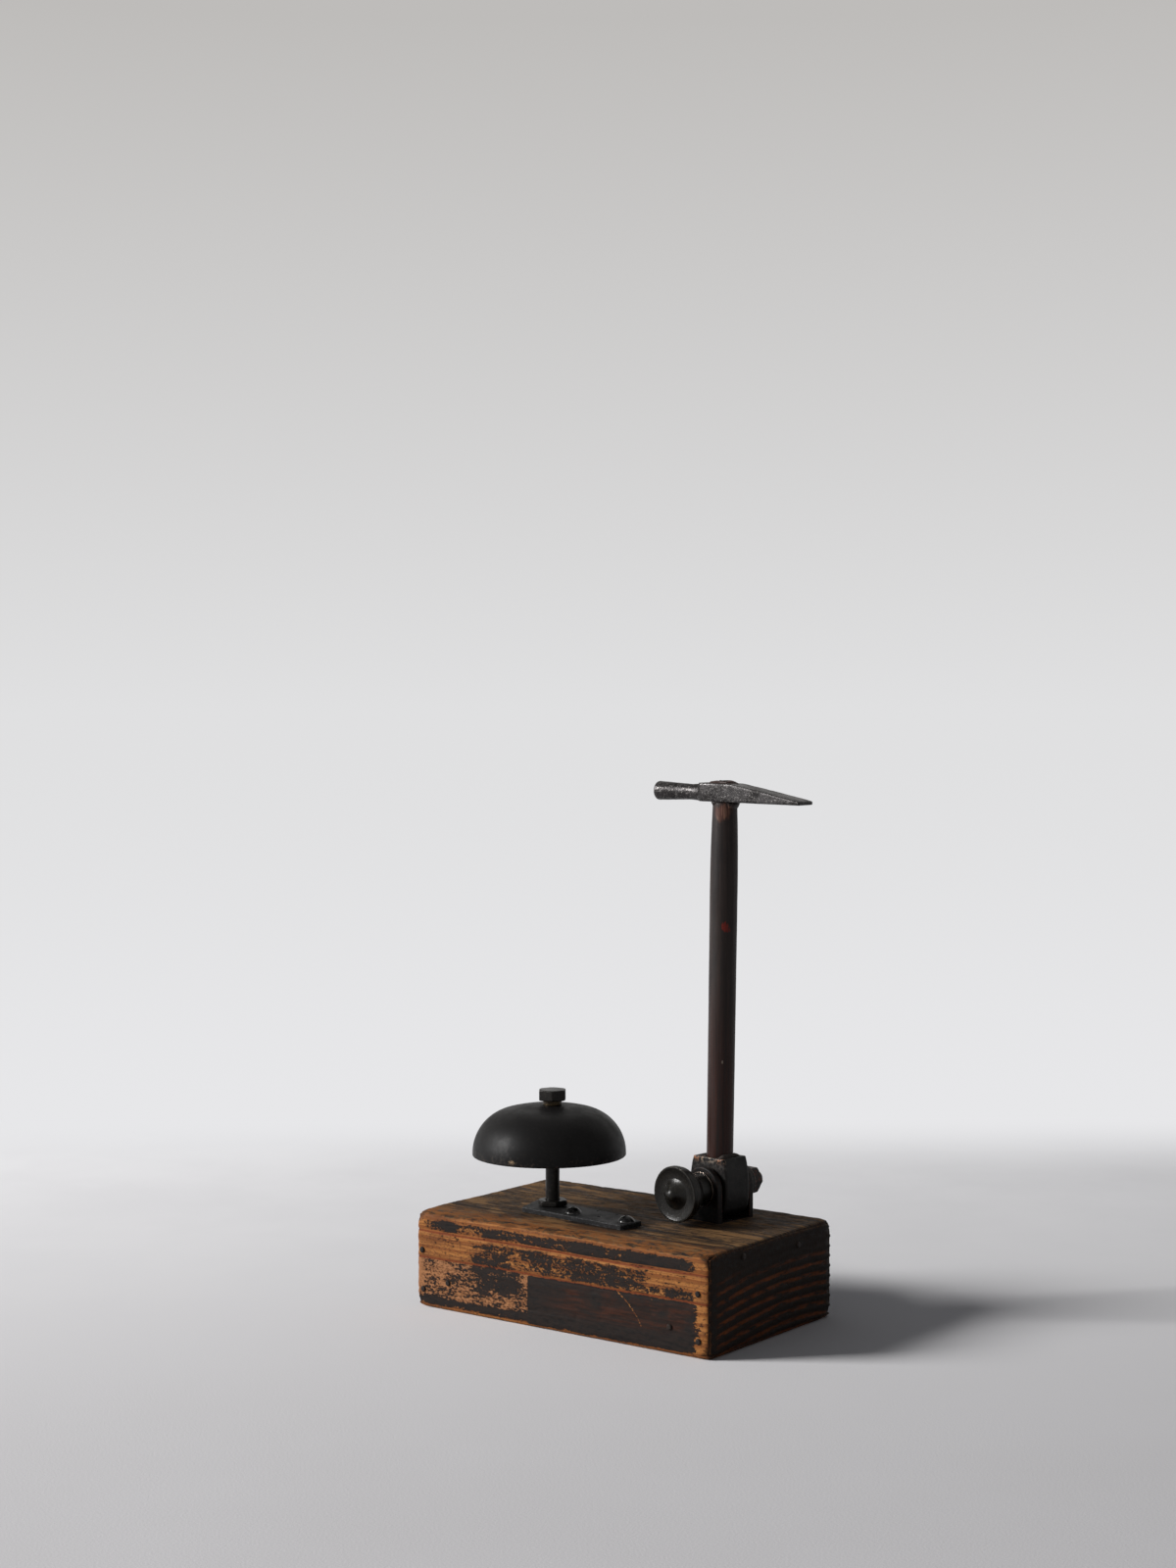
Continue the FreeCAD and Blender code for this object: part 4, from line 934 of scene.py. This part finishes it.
def floor_look():
    """Pale floor, painted darker near the camera and lighter far off as painted falloff of light. Beyond a
    line behind the object it is seen as the wall's grey, made lighter nearer the camera by painted light.
    """
    look = Look("floor")
    x, y = look.axis("X"), look.axis("Y")
    ahead = look.calc("MULTIPLY_ADD", x, -math.sin(CAMERA_YAW),
                      look.calc("MULTIPLY", y, math.cos(CAMERA_YAW)))
    weave = look.grain(900.0, 3.0, 0.6)
    cloud = look.grain(6.0, 4.0, 0.6)
    # Painted falloff of light: the floor's colour goes from darker near the camera to lighter far off
    colour = look.blend(look.fade(ahead, FLOOR_NEAR, FLOOR_FAR), shade(*FLOOR_NEAR_PAINTED_SHADE_VALUES),
                        shade(*FLOOR_FAR_PAINTED_LIGHT_VALUES))
    colour = look.blend(look.part(look.fade(cloud, 0.3, 0.7), 0.25), colour, shade(*FLOOR_CLOUD_VALUES))
    look.bump(weave, 0.00008)
    look.finish(colour, 0.85, 0.0, 0.2)
    wall = look.node("ShaderNodeEmission")
    depth = look.calc("DIVIDE", 1.0, look.calc("ADD", ahead, CAMERA_BACK))
    # Painted light on the wall seen beyond the floor line: lighter where it is nearer the camera, lower in
    # view
    wall_colour = look.blend(look.fade(depth, 0.0, 0.6), WALL_SHADE, shade(*WALL_LOW_PAINTED_LIGHT_VALUES))
    look.feed(wall.inputs["Color"], wall_colour)
    path = look.node("ShaderNodeLightPath")
    seen = look.calc("MULTIPLY", look.fade(ahead, WALL_START, WALL_FULL), path.outputs["Is Camera Ray"])
    mix = look.node("ShaderNodeMixShader")
    look.feed(mix.inputs[0], seen)
    look.feed(mix.inputs[1], look.shader.outputs[0])
    look.feed(mix.inputs[2], wall.outputs[0])
    look.feed(look.tree.nodes["Material Output"].inputs["Surface"], mix.outputs[0])
    return look.material


def make_floor():
    size = FLOOR_HALF_SIZE
    mesh = bpy.data.meshes.new("floor")
    mesh.from_pydata([(-size, -size, 0.0), (size, -size, 0.0), (size, size, 0.0), (-size, size, 0.0)], [],
                     [(0, 1, 2, 3)])
    mesh.materials.append(floor_look())
    floor = bpy.data.objects.new("floor", mesh)
    bpy.context.scene.collection.objects.link(floor)


def make_lamp(name, place, target, size, power):
    lamp = bpy.data.lights.new(name, "AREA")
    lamp.shape = "SQUARE"
    lamp.size = size
    lamp.energy = power
    holder = bpy.data.objects.new(name, lamp)
    bpy.context.scene.collection.objects.link(holder)
    holder.location = place
    holder.rotation_euler = (Vector(target) - Vector(place)).to_track_quat("-Z", "Y").to_euler()


def make_world():
    world = bpy.data.worlds.new("room")
    world.use_nodes = True
    tree = world.node_tree
    tree.nodes.clear()
    out = tree.nodes.new("ShaderNodeOutputWorld")
    light = tree.nodes.new("ShaderNodeBackground")
    light.inputs["Color"].default_value = shade(*ROOM_LIGHT_VALUES)
    light.inputs["Strength"].default_value = ROOM_LIGHT_STRENGTH
    place = tree.nodes.new("ShaderNodeTexCoord")
    parts = tree.nodes.new("ShaderNodeSeparateXYZ")
    tree.links.new(place.outputs["Generated"], parts.inputs[0])
    height = tree.nodes.new("ShaderNodeMapRange")
    height.inputs["From Max"].default_value = WALL_HIGH_DIRECTION
    tree.links.new(parts.outputs["Z"], height.inputs["Value"])
    # Painted shade on the backdrop: its grey darkens from the horizon upwards
    ramp = tree.nodes.new("ShaderNodeMix")
    ramp.data_type = "RGBA"
    ramp.inputs[6].default_value = WALL_SHADE
    ramp.inputs[7].default_value = shade(*WALL_HIGH_PAINTED_SHADE_VALUES)
    tree.links.new(height.outputs[0], ramp.inputs["Factor"])
    seen = tree.nodes.new("ShaderNodeBackground")
    tree.links.new(ramp.outputs[2], seen.inputs["Color"])
    seen.inputs["Strength"].default_value = 1.0
    path = tree.nodes.new("ShaderNodeLightPath")
    first = tree.nodes.new("ShaderNodeMath")
    first.operation = "MAXIMUM"
    tree.links.new(path.outputs["Is Camera Ray"], first.inputs[0])
    tree.links.new(path.outputs["Is Transmission Ray"], first.inputs[1])
    second = tree.nodes.new("ShaderNodeMath")
    second.operation = "MAXIMUM"
    tree.links.new(first.outputs[0], second.inputs[0])
    tree.links.new(path.outputs["Is Glossy Ray"], second.inputs[1])
    mix = tree.nodes.new("ShaderNodeMixShader")
    tree.links.new(second.outputs[0], mix.inputs["Fac"])
    tree.links.new(light.outputs[0], mix.inputs[1])
    tree.links.new(seen.outputs[0], mix.inputs[2])
    tree.links.new(mix.outputs[0], out.inputs[0])
    bpy.context.scene.world = world


def make_camera():
    lens = bpy.data.cameras.new("camera")
    lens.lens = CAMERA_LENS
    lens.sensor_width = 36.0
    lens.sensor_fit = "AUTO"
    lens.clip_start = 0.01
    lens.clip_end = 100.0
    camera = bpy.data.objects.new("camera", lens)
    bpy.context.scene.collection.objects.link(camera)
    turn = Matrix.Rotation(CAMERA_YAW, 4, "Z") @ Matrix.Rotation(math.pi / 2 - CAMERA_PITCH, 4, "X")
    camera.matrix_world = Matrix.Translation(CAMERA_PLACE) @ turn @ Matrix.Rotation(CAMERA_ROLL, 4, "Z")
    bpy.context.scene.camera = camera


make_floor()
make_world()
make_lamp("window", WINDOW_PLACE, WINDOW_TARGET, WINDOW_SIZE, WINDOW_POWER)
make_camera()
bpy.context.scene.view_settings.view_transform = "Standard"
